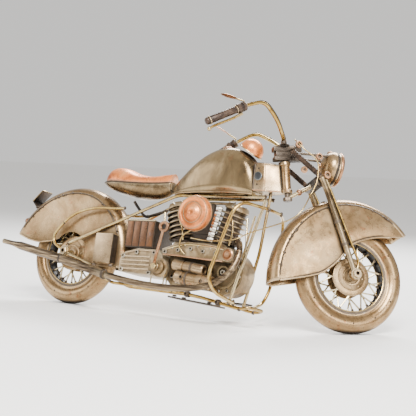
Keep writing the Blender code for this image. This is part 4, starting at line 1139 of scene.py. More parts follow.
gearOutline = [
    (-81, 34.5), (-80.5, 47), (-75, 54.5), (-60, 58.0), (-36, 57.5), (-30.4, 52), (-30.4, 31.5), (-58, 33),
]
bossFoot = at(-31.5, -20.0, 40.0)
make("gearboxCase", "castAlloy", [
    (addPlate, gearOutline, -22.5, 17.0, 1.4),
    (
        addLathe,
        [
            (0, 0), (9.2, 0), (9.2, 3.2), (8.8, 4.0), (7.6, 4.4), (7.2, 5.0), (6.4, 5.0), (6.4, 7.6),
            (5.8, 8.5), (3.4, 8.9), (3.4, 11.6), (3.0, 12.0), (0, 12.0),
        ],
        bossFoot, (0, -1, 0), 44,
    ),
], replaces=("gearbox",), sharp=30)
make("gearboxRibs", "bronzeSheet", [
    *[
        (addTube, [(-78.0, -22.6, z), (-44.5, -22.6, z + 0.3)], (1.0, 1.0), 10)
        for z in (37.6, 41.6, 45.6, 49.6)
    ],
    (addTube, [(-73, -22.6, 53.4), (-59, -22.6, 56.2), (-38, -22.6, 55.8)], 0.9, 10),
])
make("gearboxNuts", "silverNut", [
    *[
        (addNut, (x, -22.4, z), (0, -1, 0), 2.3, 1.9, 1.1)
        for x, z in ((-76.5, 36.8), (-76.0, 50.0), (-40.0, 54.2), (-60.5, 54.0), (-43.5, 34.4))
    ],
    *[
        (addNut, (x, 17.0, z), (0, 1, 0), 2.3, 1.8, 1.0)
        for x, z in ((-72.0, 40.0), (-66.0, 47.0), (-36.0, 50.0))
    ],
], sharp=30)
make("gearboxFarBoss", "oliveBronze", [
    (
        addLathe, [(0, 0), (9.0, 0), (9.2, 0.6), (8.4, 1.4), (6.0, 1.2), (5.4, 2.0), (0, 2.2)],
        (-55.0, 17.0, 45.0), (0, 1, 0), 40,
    ),
])

make("sideBarrels", "bronzeSheet", [
    (
        addLathe,
        [
            (0, 0), (5.0, 0), (6.0, 0.7), (6.4, 1.8), (6.4, 8), (5.9, 8.5), (5.9, 9.5), (6.4, 10),
            (6.4, 25.4), (7.0, 26.2), (7.0, 30.8), (6.6, 31.2), (6.6, 32.0), (7.0, 32.4), (7.0, 40),
            (6.2, 41.2), (4.2, 41.4), (3.6, 40.4), (0, 40.4),
        ],
        (-14.5, -18.4, 33.5), (1, 0, -0.12), 36,
    ),
    (
        addLathe,
        [
            (0, 0.4), (3.0, 0.4), (3.2, 0), (4.6, 0), (5.4, 1.2), (5.4, 12), (4.9, 12.4), (4.9, 13.4),
            (5.4, 13.8), (5.4, 34), (4.6, 35.1), (3.0, 35.2), (2.6, 34.4), (0, 34.4),
        ],
        (-18.5, -18.9, 44.8), (1, 0, -0.13), 36,
    ),
], replaces=("side_barrel",), sharp=30)
make("barrelNuts", "darkIron", [
    *[(addNut, (x, -24.6, z), (0, -1, 0), 1.8, 1.2, 0.8) for x, z in ((-5.0, 32.4), (18.0, 29.6))],
    (addNut, (27.3, -18.4, 28.4), (1, 0, -0.12), 3.4, 1.2, 1.5),
    *[
        (
            addLathe, [(radius - 0.8, 0), (radius, 0.2), (radius, 2.2), (radius - 0.8, 2.4)], start,
            (1, 0, -0.12), 32, True,
        )
        for start, radius in (
            ((-2.0, -18.4, 32.0), 6.9), ((12.0, -18.4, 30.3), 6.9), ((2.0, -18.9, 42.1), 5.9),
        )
    ],
], sharp=30)

cylinder = {"radius": 11.2, "tip": 14.0, "thick": 1.7, "count": 6, "length": 38.0}


def makeCylinder(name, footX, tilt, node):
    aim = at(math.sin(math.radians(tilt)), 0, math.cos(math.radians(tilt)))
    foot = at(footX, 0, 71.0)
    pitch = (cylinder["length"] - 6.5 - 2.5) / cylinder["count"]
    barrel = bmesh.new()
    profile = [(0, 0), (cylinder["radius"] - 1.2, 0)]
    for fin in range(cylinder["count"]):
        low = 2.0 + fin * pitch
        high = low + cylinder["thick"]
        tip = cylinder["tip"]
        profile += [(cylinder["radius"] - 1.2, low), (tip - 0.6, low), (tip, low + 0.4), (tip, high - 0.4)]
        profile += [(tip - 0.6, high), (cylinder["radius"] - 1.2, high)]
    end = cylinder["length"] - 6.5
    profile += [
        (cylinder["radius"] - 0.4, end), (cylinder["radius"] + 1.0, end + 0.6),
        (cylinder["radius"] + 1.2, end + 1.6), (cylinder["radius"] - 0.2, end + 4.8),
        (cylinder["radius"] - 1.4, end + 5.9), (4.6, end + 6.3), (0, end + 6.5),
    ]
    addLathe(barrel, profile, foot, aim, 56)
    newPiece(name, barrel, "castAlloy", "frame", (node,), 30)
    core = bmesh.new()
    for fin in range(cylinder["count"] + 1):
        low = 0.3 if fin == 0 else 2.0 + (fin - 1) * pitch + cylinder["thick"] + 0.1
        high = min(low + pitch - cylinder["thick"] - 0.2, end) if fin else 1.9
        addLathe(
            core, collar(cylinder["radius"] - 2.0, cylinder["radius"] - 0.9, low, high), foot, aim, 40,
            ring=True,
        )
    newPiece(name + "Gaps", core, "darkIron")
    bolts = bmesh.new()
    across = at(aim.z, 0, -aim.x)
    for y in (-1, 1):
        for x in (-1, 1):
            spot = foot + aim * (end + 4.6) + across * x * 6.2 + at(0, y * 6.2, 0)
            addNut(bolts, spot, aim, 1.7, 1.9, 0.7)
    newPiece(name + "Nuts", bolts, "silverNut", "frame", sharp=30)
    make(name + "Base", "darkIron", [
        (
            addLathe, [(0, -3.2), (12.4, -3.2), (12.8, -2.6), (12.8, -1.0), (12.2, -0.2), (0, -0.2)], foot,
            (0, 0, 1), 44,
        ),
    ])


makeCylinder("rearCylinder", -23.5, -15, "rear_cylinder")
makeCylinder("frontCylinder", 23.0, 17, "front_cylinder")

cleanerPlace = at(9.8, -33.2, 91.5)
make("airCleaner", "copper", [
    (
        addLathe,
        [
            (0, -14.5), (6.5, -14.5), (6.5, -1.4), (8, -0.8), (13.8, -0.8), (15.6, 0), (16.5, 1.0),
            (16.8, 2.2), (16.8, 6.0), (16.4, 7.4), (15.6, 8.6), (14.4, 9.3), (12.6, 9.6), (11.8, 9.1),
            (7.6, 9.0), (7.0, 9.6), (5.6, 9.9), (5.0, 10.6), (3.6, 11.2), (2.4, 11.0), (2.0, 10.6), (0, 10.6),
        ],
        cleanerPlace, (0, -1, 0), 72,
    ),
], replaces=("air_cleaner",), sharp=40)
cleanerTrim = bmesh.new()
for radius, along, wireSize in ((15.4, 8.7, 0.45), (9.8, 9.15, 0.35), (16.75, 1.5, 0.4)):
    addLathe(cleanerTrim, wireRing(radius, along, wireSize), cleanerPlace, (0, -1, 0), 72, ring=True)
newPiece("cleanerRings", cleanerTrim, "bronzeSheet")
stack = bmesh.new()
stackFoot = at(17.5, -17.6, 68.2)
for bead in range(7):
    start = stackFoot + at(0.2, 0, 1).normalized() * bead * 5.0
    addNut(stack, start, (0.2, 0, 1), 3.3, 4.2)
    addLathe(stack, collar(0, 2.1, 4.0, 5.0), start, (0.2, 0, 1), 20)
newPiece("pushrodStack", stack, "silverNut", "frame", ("pushrod_stack",), 30)
make("thinWires", "brassRod", [
    (
        addTube,
        curved([(3.0, -27.0, 78.0), (-6.0, -29.0, 71.0), (-9.0, -28.0, 61.0), (-4.0, -25.4, 54.0)], 8), 0.75,
        10,
    ),
    (addTube, curved([(-27, -10.5, 99), (-22, -17, 92), (-14, -20, 80), (-13, -17, 69)], 8), 0.75, 10),
    (addTube, curved([(30, -11.2, 98), (37, -14, 90), (39, -14.5, 78), (36, -13, 66)], 8), 0.75, 10),
    (addTube, [(56.5, -6.0, 96.0), (50.0, -9.5, 55.0)], 1.1, 10),
    (addTube, [(47.0, -3.5, 94.0), (52.5, -8.0, 58.0)], 1.1, 10),
])
plugs = bmesh.new()
for centre, aim in (((-30.5, -9.0, 103.0), (-0.5, -0.6, 0.6)), ((34.0, -9.0, 103.5), (0.5, -0.6, 0.5))):
    addNut(plugs, centre, aim, 2.6, 2.2)
    addTube(plugs, [Vector(centre), Vector(centre) + Vector(aim).normalized() * 6.5], (1.3, 0.8), 10)
newPiece("sparkPlugs", plugs, "silverNut", "frame", sharp=30)
make("intakeBlock", "darkIron", [
    (addBox, (20.0, 11.0, 30.0), (0.0, 0, 92.0), None, 2.0),
    (addBox, (34.0, 9.0, 9.0), (0.0, 0, 74.0), None, 1.2),
    (
        addLathe, [(0, 0), (5.6, 0), (6.0, 0.6), (6.0, 3.6), (5.0, 4.4), (5.0, 9.0), (0, 9.0)],
        (0.0, 5.0, 92.0), (0, 1, 0), 30,
    ),
], sharp=30)
make("headBar", "steel", [
    (addTube, bent([(-30, -3, 109.0), (-14, -3, 108.0), (14, -3, 108.0), (30, -3, 107.5)], 4), 1.4, 12),
])
print("engine done")

# oil tank
make("oilTank", "darkIron", [
    (addBox, (34.0, 34.0, 27.5), (-64.3, 0, 73.2), None, 1.3),
], replaces=("oil_tank",), sharp=30)
oilPanels = bmesh.new()
for side in (-1, 1):
    for count in range(4):
        x = -76.6 + count * 8.25
        addBox(oilPanels, (7.0, 0.9, 24.6), (x, side * 17.0, 73.2), None, 0.35)
newPiece("oilPanels", oilPanels, "panelCopper", "frame", sharp=30)
make("oilEdges", "brassRod", [
    *[(addTube, [(-80.8, side * 16.6, 86.9), (-47.8, side * 16.6, 86.9)], 0.8, 10) for side in (-1, 1)],
])
make("oilCap", "copper", [
    (
        addLathe, [(0, 0), (4.2, 0), (4.4, 0.6), (4.2, 1.8), (3.4, 2.3), (0, 2.5)], (-73.0, 8.0, 86.8),
        (0, 0, 1), 28,
    ),
])

# exhaust
make("exhaustPipe", "streaked", [
    (
        addTube,
        curved(
            [
                (45, -16.5, 70.5), (50.5, -18.5, 67), (54, -23.5, 55), (50, -29, 39.5), (36, -33.5, 27),
                (16, -35, 21.5), (-14, -35, 20.4), (-50, -35, 23.0), (-86, -35, 28.4),
            ],
            6,
        ),
        3.0, 24,
    ),
], replaces=("exhaust_pipe",))
make("muffler", "streaked", [
    (
        addTube,
        [
            (-86.4, -35, 28.6), (-87.2, -35, 28.8), (-100, -35, 31.7), (-146, -35, 42.0), (-180, -35, 48.6),
            (-200, -35, 52.6), (-205, -35, 53.5), (-211, -35, 54.6), (-224, -35, 56.6),
        ],
        (3.0, 4.3, 4.3, 4.3, 4.3, 4.2, 3.4, 2.6, 2.6), 32,
    ),
], replaces=("muffler",), sharp=40)
way = at(-58.8, 0, 13.2).normalized()
make("exhaustCollars", "darkIron", [
    *[
        (
            addLathe,
            [
                (radius - 1.2, 0), (radius - 0.3, 0), (radius, 0.4), (radius, 2.4), (radius - 0.3, 2.8),
                (radius - 1.2, 2.8),
            ],
            start, way, 32, True,
        )
        for start, radius in ((at(-86.6, -35, 28.6), 5.0), (at(-143, -35, 41.3), 4.6))
    ],
    (addLathe, collar(0, 1.9, 0.1, 0.5), (-224, -35, 56.6), (-0.988, 0, 0.152), 20),
    (
        addLathe, [(3.0, -1.4), (4.2, -1.4), (4.6, -0.9), (4.6, 0.9), (4.2, 1.4), (3.0, 1.4)],
        (45.6, -16.8, 70.3), (0.8, -0.3, -0.5), 28, True,
    ),
])
make("mufflerStays", "darkIron", [
    (addTube, [(-94.0, -14.5, 24.2), (-93.5, -30.9, 29.8)], 1.1, 10),
    (addTube, [(-153.0, -21.2, 45.5), (-152.0, -31.0, 43.2)], 1.1, 10),
])

# kick starter, footboard and side stand
shaftEnd = bossFoot + at(0, -12.3, 0)
ringCentre = shaftEnd + at(7.2, -3.0, 38.0)
make("kickLever", "dullCopper", [
    (
        addTube,
        bent(
            [shaftEnd + at(0, -1.5, -3.0), shaftEnd + at(0.6, -1.6, 6.0), shaftEnd + at(6.5, -3.0, 33.4)], 6,
        ),
        1.4, 14,
    ),
    (
        addLathe,
        [(2.9, -0.9), (3.2, -1.2), (5.1, -1.2), (5.4, -0.9), (5.4, 0.9), (5.1, 1.2), (3.2, 1.2), (2.9, 0.9)],
        ringCentre, (0, 1, 0), 40, True,
    ),
], "kick_lever", ("kick_lever",))
make("kickPeg", "brassRod", [
    (
        addTube, [ringCentre + at(0, 0, 4.4), ringCentre + at(-0.8, 0, 13.2), ringCentre + at(-0.8, 0, 14)],
        (1.3, 1.3, 0.9), 14,
    ),
    (
        addLathe, [(0, -3.1), (2.6, -3.1), (3.0, -2.6), (3.0, -0.4), (2.6, -0.1), (0, -0.1)],
        shaftEnd + at(0, -0.1, 0), (0, 1, 0), 28,
    ),
], "kick_lever")

board = bmesh.new()
boardPlace = at(30.0, 27.0, 15.6)
addLathe(
    board, [(0, -0.8), (15.4, -0.8), (16.0, -0.3), (16.0, 0.4), (15.4, 0.8), (14.4, 0.5), (0, 0.5)],
    (0, 0, 0), (0, 0, 1), 48,
)
bmesh.ops.scale(board, vec=(1, 7.5 / 16.0, 1), verts=board.verts)
bmesh.ops.translate(board, vec=boardPlace, verts=board.verts)
newPiece("footboard", board, "darkIron", "frame", ("footboard",), 30)
boardRibs = bmesh.new()
for x in (-9.0, -4.5, 0.0, 4.5, 9.0):
    half = 6.6 * math.sqrt(1 - (x / 16) ** 2) * 0.92
    addTube(boardRibs, [boardPlace + at(x, -half, 0.5), boardPlace + at(x, half, 0.5)], 0.5, 8)
addTube(boardRibs, [boardPlace + at(0, -7.0, 0), boardPlace + at(0, -12.6, -2.2)], 1.2, 10)
newPiece("footboardRibs", boardRibs, "bronzeSheet")
print("exhaust and levers done")

# fork
clampCentre = stemFoot + stemWay * 117.8
clampFront = clampCentre + forkAhead * 2.5
yoke = frontAxle + at(-43.5, 0, 82.0)
stemTurn = stemWay.to_track_quat("Z", "Y")
forkHalf = 17.2

make("topClamp", "darkIron", [
    (addBox, (8.5, 28.2, 5.2), clampFront + stemWay * 4.9, stemTurn, 1.3),
    (addBox, (7.6, 24.0, 5.0), clampFront, stemTurn, 1.1),
    (addBox, (8.0, 27.6, 4.2), clampFront - stemWay * 4.4, stemTurn, 1.2),
], "fork", ("top_clamp",), 30)
clampBits = bmesh.new()
addLathe(
    clampBits, [(0, 0), (5.2, 0), (5.6, 0.5), (5.6, 1.8), (4.6, 2.6), (0, 3.0)], clampCentre + stemWay * 7.6,
    stemWay, 30,
)
for side in (-1, 1):
    bolt = clampFront + at(-1.0, side * forkHalf, -1.5)
    addNut(clampBits, bolt + stemWay * 1.0, stemWay, 3.7, 3.0, 0.0)
    for rise in (-5.0, 4.9):
        addNut(
            clampBits, clampFront + forkAhead * 4.2 + stemWay * rise + at(0, side * 9.0, 0), forkAhead, 1.9,
            1.3, 0.7,
        )
addBlobs(
    clampBits, between(clampFront + at(4.5, -13.0, 3.0), clampFront + at(4.5, 13.0, -2.0), 9), 2.1, 51, 1.3,
)
addBlobs(clampBits, between(yoke + at(4.0, -12.5, 2.0), yoke + at(4.0, 12.5, 1.0), 9), 2.0, 52, 1.3)
newPiece("clampNuts", clampBits, "darkIron", "fork", sharp=30)

stemLow = stemFoot + stemWay * 73.0
stemHigh = stemFoot + stemWay * 125.7
make("forkStem", "darkIron", [
    (addTube, [stemLow, stemHigh], 2.6, 24),
    (addLathe, [(0, -0.6), (3.9, -0.6), (4.3, 0), (4.3, 2.4), (3.9, 3.0), (0, 3.0)], stemLow, stemWay, 6),
], "fork", ("fork_yoke",), 30)
make("forkYoke", "darkIron", [
    (addBox, (8.0, 28.2, 9.0), yoke, None, 1.4),
    (addBox, (9.4, 6.0, 6.0), yoke + at(0.2, -9.0, 0), None, 0.9),
    (addBox, (9.4, 6.0, 6.0), yoke + at(0.2, 9.0, 0), None, 0.9),
], "fork", sharp=30)
linkStart = stemLow + stemWay * 1.9 - forkAhead * 1.2
make("forkLink", "brassRod", [(addTube, [linkStart, yoke], 1.9, 16)], "fork")
middle = linkStart.lerp(yoke, 0.45)
make("forkLinkBall", "dullCopper", [
    (
        addLathe, [(0, -3.0), (1.6, -2.6), (2.7, -1.4), (3.1, 0), (2.7, 1.4), (1.6, 2.6), (0, 3.0)], middle,
        yoke - linkStart, 24,
    ),
], "fork")

for side, word in ((-1, "right"), (1, "left")):
    y = side * forkHalf
    legRoute = bent(
        [
            clampFront + at(-1.0, y, -1.5), yoke + at(0.5, y, 2.5), yoke + at(9.0, y, -13.0),
            frontAxle + at(-1.8, y, 3.2),
        ],
        6,
    )
    leg = bmesh.new()
    addTube(leg, legRoute[:5], 2.45, 20)
    # fine rings on the upper tube
    top = legRoute[0]
    bend = legRoute[1]
    span = (bend - top).length
    ribs = []
    for count in range(int(span / 0.5)):
        share = count * 0.5 / span
        ribs.append((2.85 if count % 2 else 2.35, share * span))
    addLathe(leg, [(0, 0)] + ribs + [(0, span)], top, bend - top, 24)
    newPiece("forkUpper." + word, leg, "brownGrip", "fork", sharp=70)
    lowRoute = bent([yoke + at(0.5, y, 2.5), yoke + at(9.0, y, -13.0), frontAxle + at(-1.8, y, 3.2)], 6)
    make("forkLeg." + word, "steel", [
        (addTube, lowRoute, 2.8, 20),
        (
            addLathe, [(2.3, -2.2), (4.9, -2.2), (5.3, -1.8), (5.3, 2.3), (4.9, 2.7), (2.3, 2.7)],
            frontAxle + at(0, y, 0), (0, side, 0), 36, True,
        ),
    ], "fork", ("fork_leg_" + word,), 40)
    twinRoute = [
        yoke + at(4.6, y, 2.0), yoke + at(12.6, y, -11.4), frontAxle + at(2.2, y, 12.0),
        frontAxle + at(1.2, y, 4.8),
    ]
    make("forkTwinRod." + word, "brassRod", [(addTube, bent(twinRoute, 6), 1.25, 14)], "fork")
    bushes = bmesh.new()
    holes = bmesh.new()
    for x, z in ((83.0, 162.0), (104.0, 155.0), (114.0, 139.0)):
        spot = at(x, side * (forkHalf + 1.2), z)
        addLathe(
            bushes, [(1.5, 0), (3.2, 0), (3.4, 0.5), (3.4, 2.2), (3.0, 2.8), (1.8, 2.8), (1.5, 2.2)], spot,
            (0, side, 0), 28, ring=True,
        )
        addLathe(holes, collar(0, 1.6, 0.2, 1.2), spot, (0, side, 0), 16)
    newPiece("forkBushes." + word, bushes, "dullCopper", "fork")
    newPiece("forkBushHoles." + word, holes, "darkIron", "fork")
    clips = bmesh.new()
    for share in (0.30, 0.62):
        spot = lowRoute[-2].lerp(lowRoute[-1], share)
        addLathe(clips, collar(2.6, 3.3, -1.2, 1.2), spot, lowRoute[-1] - lowRoute[-2], 24, ring=True)
    newPiece("forkClips." + word, clips, "darkIron", "fork")

# headlight
lamp = {"back": yoke + at(3.0, 0, 20.5), "aim": (1, 0, -0.03), "radius": 16.0, "depth": 15.5}
shell = bmesh.new()
shellProfile = [(0, 0)]
for step in range(1, 19):
    angle = math.pi / 2 * step / 18
    shellProfile.append((lamp["radius"] * math.sin(angle), (lamp["depth"] - 4.0) * (1 - math.cos(angle))))
shellProfile += [
    (lamp["radius"], lamp["depth"]), (lamp["radius"] - 1.0, lamp["depth"]), (0, lamp["depth"] - 1.5),
]
addLathe(shell, shellProfile, lamp["back"], lamp["aim"], 64)
newPiece("lampShell", shell, "bronzeSheet", "fork", ("headlight_shell",), 40)
start = lamp["depth"] + 0.3
make("lampRim", "dullCopper", [
    (
        addLathe,
        [
            (14.0, start - 0.2), (16.2, start), (16.7, start + 0.5), (16.8, start + 1.4), (16.2, start + 2.5),
            (15.2, start + 3.3), (14.2, start + 3.2), (13.6, start + 2.6), (13.6, start + 1.0),
        ],
        lamp["back"], lamp["aim"], 64, True,
    ),
], "fork", ("headlight_rim",), 40)
glass = bmesh.new()
glassProfile = [(0, start + 0.6), (13.7, start + 0.6), (13.7, start + 2.0)]
for step in range(1, 13):
    angle = math.pi / 2 * step / 12
    glassProfile.append((13.6 * math.cos(angle), start + 2.0 + 2.4 * math.sin(angle)))
glassProfile[-1] = (0, start + 4.4)
addLathe(glass, glassProfile, lamp["back"], lamp["aim"], 64)
newPiece("lampGlass", glass, "lensGlass", "fork")
flutes = bmesh.new()
for count in range(-5, 6):
    y = count * 2.3
    half = math.sqrt(12.8**2 - y * y)
    line = []
    for step in range(9):
        z = half * (2 * step / 8 - 1)
        reach = math.sqrt(y * y + z * z) / 13.6
        out = start + 2.1 + 2.4 * math.sqrt(max(0, 1 - reach * reach))
        line.append(lamp["back"] + at(out, y, z - 0.03 * out))
    addTube(flutes, line, 0.28, 6)
newPiece("lampFlutes", flutes, "silverNut", "fork")
bandAt = lamp["depth"] - 3.6
make("lampBand", "darkIron", [
    (
        addLathe,
        [
            (15.6, bandAt), (16.25, bandAt), (16.45, bandAt + 0.4), (16.45, bandAt + 2.0),
            (16.25, bandAt + 2.4), (15.6, bandAt + 2.4),
        ],
        lamp["back"], lamp["aim"], 64, True,
    ),
    (addTube, [yoke + at(0, 0, 3.0), lamp["back"] + at(8.0, 0, -14.6)], (2.4, 2.0), 14),
    (addTube, [clampFront + at(1.0, -8.0, 0.0), lamp["back"] + at(6.0, -8.0, 8.6)], 1.3, 10),
    (addTube, [clampFront + at(1.0, 8.0, 0.0), lamp["back"] + at(6.0, 8.0, 8.6)], 1.3, 10),
], "fork")
capFoot = lamp["back"] + at(8.6, 0, 14.2)
make("lampCap", "dullCopper", [
    (addLathe, [(0, 0), (2.6, 0), (2.9, 0.6), (2.4, 1.8), (1.2, 2.5), (0, 2.7)], capFoot, (-0.15, 0, 1), 24),
    (addLathe, [(0, 0), (2.2, 0), (2.0, 2.0), (0, 2.6)], lamp["back"] + at(0.8, 0, 0), (-1, 0, 0), 20),
], "fork")

# front fender stay and bracket
stay = bmesh.new()
for side in (-1, 1):
    addLathe(
        stay, [(0, -1.6), (2.3, -1.6), (2.6, -1.0), (2.6, 0.6), (2.0, 1.2), (0, 1.2)],
        frontAxle + at(-20.5, side * 15.0, 41.0), (0, side, 0), 20,
    )
    addTube(
        stay, [frontAxle + at(-20.5, side * 15.4, 41.0), frontAxle + at(-15.0, side * 16.8, 38.0)], 1.2, 10,
    )
for y in (-5.0, 5.0):
    addNut(
        stay, aroundAxle(frontAxle, 73.0, 118, y),
        (math.cos(math.radians(118)), 0, math.sin(math.radians(118))), 2.1, 1.7, 0.9,
    )
newPiece("frontFenderFixings", stay, "darkIron", "fork", sharp=30)
print("fork and lamp done")

# bars, grips, levers and mirrors
barFoot = clampCentre + at(-1.0, 0, 0) + stemWay * 10.0
halfBar = [
    barFoot + at(0, -10.5, 0.6), barFoot + at(-10, -28, 12.5), barFoot + at(-25, -43, 23),
    barFoot + at(-39.5, -49, 14.5),
]
gripEnd = barFoot + at(-73.5, -62, -12.5)
gripWay = (gripEnd - halfBar[-1]).normalized()
barTip = halfBar[-1] + gripWay * 3.0
barRoute = bent([barTip] + list(reversed(halfBar)) + mirrored(halfBar) + mirrored([barTip]), 9, 12)
make("handlebar", "brassRod", [(addTube, barRoute, 1.8, 18)], "bars", ("handlebar",))
risers = bmesh.new()
for y in (-8.0, 8.0):
    addLathe(
        risers, [(0, 0), (2.6, 0), (2.8, 0.4), (2.8, 3.0), (2.2, 3.4), (0, 3.4)],
        clampCentre + at(-1.0, y, 0) + stemWay * 7.6, stemWay, 20,
    )
    addLathe(risers, collar(1.6, 2.6, -1.5, 1.5), barFoot + at(0, y, 0.3), (0, 1, 0), 24, ring=True)
newPiece("barRisers", risers, "darkIron", "bars")
cables = bmesh.new()
for flip in (1, -1):
    line = [
        at(p.x + 1.0, p.y * flip, p.z + 1.9)
        for p in bent([halfBar[0], halfBar[1], halfBar[2], halfBar[3], barTip], 9, 8)
    ]
    addTube(cables, line, 0.7, 10)
    for index in (6, 14, 22):
        addBlobs(cables, [line[index]], 1.15, 40, 0.1)
newPiece("barCables", cables, "darkIron", "bars")

levers = {"length": 38.0, "thick": 1.3, "taper": 0.25}


def flip(point, side):
    # points are given for the right side
    return at(point.x, -side * point.y, point.z)


for side, word, leverBody, leverNode, rise, offset in (
    (-1, "right", "brake_lever", "brake_lever", 1.0, at(2.2, -1.6, -5.9)),
    (1, "left", "clutch_lever", "clutch_lever", 12.0, at(3.5, -4.6, -2.6)),
):
    gripStart = barTip + gripWay * 0.3
    make("grip." + word, "brownGrip", [
        (
            addLathe,
            [
                (0, 0), (3.9, 0), (4.4, 0.5), (4.4, 3.0), (4.0, 3.4), (4.0, 5.4), (4.4, 5.8), (4.4, 8.6),
                (4.0, 9.1), (3.3, 9.6), (3.4, 12), (3.3, 25), (3.4, 38.8), (3.2, 39.2), (3.2, 40.0),
                (3.4, 40.4), (3.4, 41.2), (3.2, 42.2), (2.6, 43.0), (1.6, 43.4), (0, 43.4),
            ],
            flip(gripStart, side), flip(gripWay, side), 36,
        ),
    ], "bars", ("grip_" + word,), 30)
    make("gripRings." + word, "bronzeSheet", [
        (
            addLathe, [(3.3, 9.5), (3.75, 9.5), (3.85, 10.0), (3.75, 10.6), (3.3, 10.6)],
            flip(gripStart, side), flip(gripWay, side), 32, True,
        ),
        (
            addLathe, [(3.2, 38.9), (3.7, 38.9), (3.8, 39.4), (3.7, 39.9), (3.2, 39.9)],
            flip(gripStart, side), flip(gripWay, side), 32, True,
        ),
    ], "bars")
    pivot = gripStart + gripWay * 5.0 + offset
    way = [
        pivot, pivot + gripWay * 0.3 * levers["length"] + at(0, 0, -1.0),
        pivot + gripWay * 0.85 * levers["length"] + at(0, 0, -0.6),
        pivot + gripWay * levers["length"] + at(0.6, 0, -1.8),
    ]
    line = [flip(point, side) for point in bent(way, 4, 10)]
    make("lever." + word, "brassRod", [
        (
            addTube, line,
            [levers["thick"] - levers["taper"] * index / (len(line) - 1) for index in range(len(line))], 14,
        ),
        (
            addLathe, [(0, -1.9), (1.0, -1.62), (1.65, -0.95), (1.9, 0), (1.65, 0.95), (1.0, 1.62), (0, 1.9)],
            line[-1] - (line[-1] - line[-2]).normalized() * 1.6, line[-1] - line[-2], 22,
        ),
    ], leverBody, (leverNode,))
    knuckle = flip(gripStart + gripWay * 5.0 + offset * 0.62, side)
    make("leverMount." + word, "darkIron", [
        (addTube, [flip(gripStart + gripWay * 4.4, side), knuckle], 1.7, 12),
    ], "bars")
    stalkFoot = gripStart + gripWay * 2.0 + at(0, 0, 5.3)
    leafStart = stalkFoot + at(-6, -2, 0.3 * rise)
    leafTip = leafStart + at(-16, -4, 0.7 * rise)
    make("mirrorStalk." + word, "brassRod", [
        (
            addTube,
            [
                flip(stalkFoot - at(0, 0, 1.4), side), flip(stalkFoot, side),
                flip(leafStart.lerp(leafTip, 0.15), side),
            ],
            (0.95, 0.8, 0.8), 10,
        ),
    ], "bars")
    along = (leafTip - leafStart).normalized()
    wide = along.cross(at(0, 0, 1)).normalized()
    thick = along.cross(wide).normalized()
    leaf = bmesh.new()
    leafRings = []
    leafShape = ((0, 0.9, 0.3), (0.3, 3.4, 0.42), (0.65, 3.8, 0.42), (0.9, 2.2, 0.36), (1.0, 0.7, 0.2))
    for t, half, reach in flatCurve(leafShape, 5):
        centre = leafStart.lerp(leafTip, t)
        ring = []
        for step in range(16):
            angle = 2 * math.pi * step / 16
            w = half * math.copysign(abs(math.cos(angle)) ** 0.8, math.cos(angle))
            h = reach * math.copysign(abs(math.sin(angle)) ** 0.7, math.sin(angle))
            ring.append(leaf.verts.new(flip(centre + wide * w + thick * h, side)))
        leafRings.append(ring)
    skin(leaf, leafRings)
    newPiece("mirrorLeaf." + word, leaf, "dullCopper", "bars", ("mirror_" + word,), 50)
print("bars done")

# control cable and side stand
cableSide = 22.8
upper = [
    clampFront + at(0, -cableSide + 5.5, 10.0), clampFront + at(9, -cableSide, 0.5),
    yoke + at(-8, -cableSide, 15), yoke + at(-5.5, -cableSide, -2), yoke + at(-10, -cableSide, -19),
    yoke + at(-23, -cableSide, -44),
]
turn = Matrix.Rotation(math.radians(stance["steer"]), 3, stemWay)
cableRoute = [stemFoot + turn @ (point - stemFoot) for point in upper]
cableRoute += [(61, -19, 78), (47, -24.5, 70), (22, -27.5, 67.5), (2, -27.0, 69.5)]
cableLine = curved(cableRoute, 8)
cable = bmesh.new()
addTube(cable, cableLine, 0.6, 10)
cablePiece = newPiece("controlCable", cable, "brassRod", replaces=("control_cable",), rides=False)
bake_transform(cablePiece)

standPlace = bikeSpace.inverted() @ jointPlace("side_stand_fold")
standWay = at(-0.47, 0.62, -0.63).normalized()
groundUp = (bikeSpace.to_3x3().inverted() @ at(0, 0, 1)).normalized()
footHeight = (bikeSpace @ standPlace).z / mm - 1.6
reach = footHeight / -((bikeSpace.to_3x3() @ standWay).z / mm)
standFoot = standPlace + standWay * reach
make("sideStand", "brassRod", [
    (addTube, [standPlace - standWay * 1.0, standPlace, standFoot + groundUp * 0.4], (1.4, 1.9, 1.7), 20),
    (
        addLathe, [(0, -1.6), (4.7, -1.6), (5.0, -1.3), (5.0, -0.3), (3.6, 0.9), (0, 1.0)], standFoot,
        groundUp, 36,
    ),
], "side_stand", ("side_stand",), 40)
print("cable and stand done")


# floor, light and camera
sensorWidth = 36
frameWidth = 416
setting = {
    "floor": "#F6F5F3", "world": 0.85, "key": 36.0, "fill": 5.0, "rim": 30.0, "low": 16.0,
    "lens": 1057.2 * sensorWidth / frameWidth, "camera": (10.44, -16.41, -1.26), "yaw": -0.567,
    "pitch": 0.166, "roll": 0.129,
}
floorShape = bmesh.new()
bmesh.ops.create_grid(floorShape, x_segments=2, y_segments=2, size=40.0)
floorMesh = bpy.data.meshes.new("floor")
floorShape.to_mesh(floorMesh)
floorShape.free()
floor = bpy.data.objects.new("floor", floorMesh)
bpy.context.scene.collection.objects.link(floor)
floorPaint = bpy.data.materials.new("floorPaint")
floorPaint.use_nodes = True
paint = floorPaint.node_tree.nodes["Principled BSDF"]
paint.inputs["Base Color"].default_value = tone(setting["floor"])
paint.inputs["Roughness"].default_value = 0.85
floorMesh.materials.append(floorPaint)

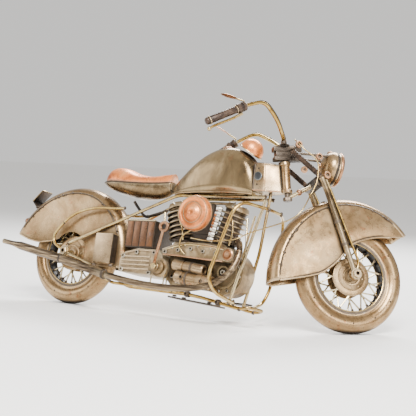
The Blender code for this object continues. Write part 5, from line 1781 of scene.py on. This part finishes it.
world = bpy.context.scene.world or bpy.data.worlds.new("World")
bpy.context.scene.world = world
world.use_nodes = True
sky = world.node_tree.nodes["Background"]
sky.inputs["Color"].default_value = (1.0, 0.985, 0.96, 1.0)
sky.inputs["Strength"].default_value = setting["world"]


def addLamp(name, place, aim, size, power, colour=(1, 1, 1)):
    data = bpy.data.lights.new(name, "AREA")
    data.shape = "RECTANGLE"
    data.size, data.size_y = size
    data.energy = power
    data.color = colour
    lampObject = bpy.data.objects.new(name, data)
    bpy.context.scene.collection.objects.link(lampObject)
    place = Vector(place)
    lampObject.location = place
    lampObject.rotation_euler = (Vector(aim) - place).to_track_quat("-Z", "Y").to_euler()


# the right side of the machine is lit from above and in front, with a strip behind
middle = (0.0, 0.0, 0.09)
addLamp("key", (0.55, -0.75, 1.05), middle, (0.55, 0.55), setting["key"], (1.0, 0.98, 0.95))
addLamp("fill", (-0.95, -0.65, 0.55), middle, (0.8, 0.6), setting["fill"], (0.95, 0.97, 1.0))
addLamp("rim", (-0.2, 0.9, 0.9), middle, (0.9, 0.35), setting["rim"])
addLamp("low", (1.7, -0.7, 0.75), middle, (0.7, 0.7), setting["low"])

yaw, pitch, roll = setting["yaw"], setting["pitch"], setting["roll"]
view = at(math.sin(yaw) * math.cos(pitch), math.cos(yaw) * math.cos(pitch), math.sin(pitch))
across = at(math.cos(yaw), -math.sin(yaw), 0)
high = across.cross(view)
rolledAcross = math.cos(roll) * across + math.sin(roll) * high
rolledHigh = -math.sin(roll) * across + math.cos(roll) * high
toWorld = bikeSpace.to_3x3() * (1 / mm)
cameraData = bpy.data.cameras.new("camera")
cameraData.lens = setting["lens"]
cameraData.sensor_width = sensorWidth
cameraData.clip_start = 0.02
camera = bpy.data.objects.new("camera", cameraData)
bpy.context.scene.collection.objects.link(camera)
turnMatrix = Matrix([toWorld @ rolledAcross, toWorld @ rolledHigh, toWorld @ -view]).transposed()
camera.matrix_world = turnMatrix.to_4x4()
camera.matrix_world.translation = bikeSpace @ (Vector(setting["camera"]) * stance["wheelRadius"])
bpy.context.scene.camera = camera
print("floor, light and camera done")
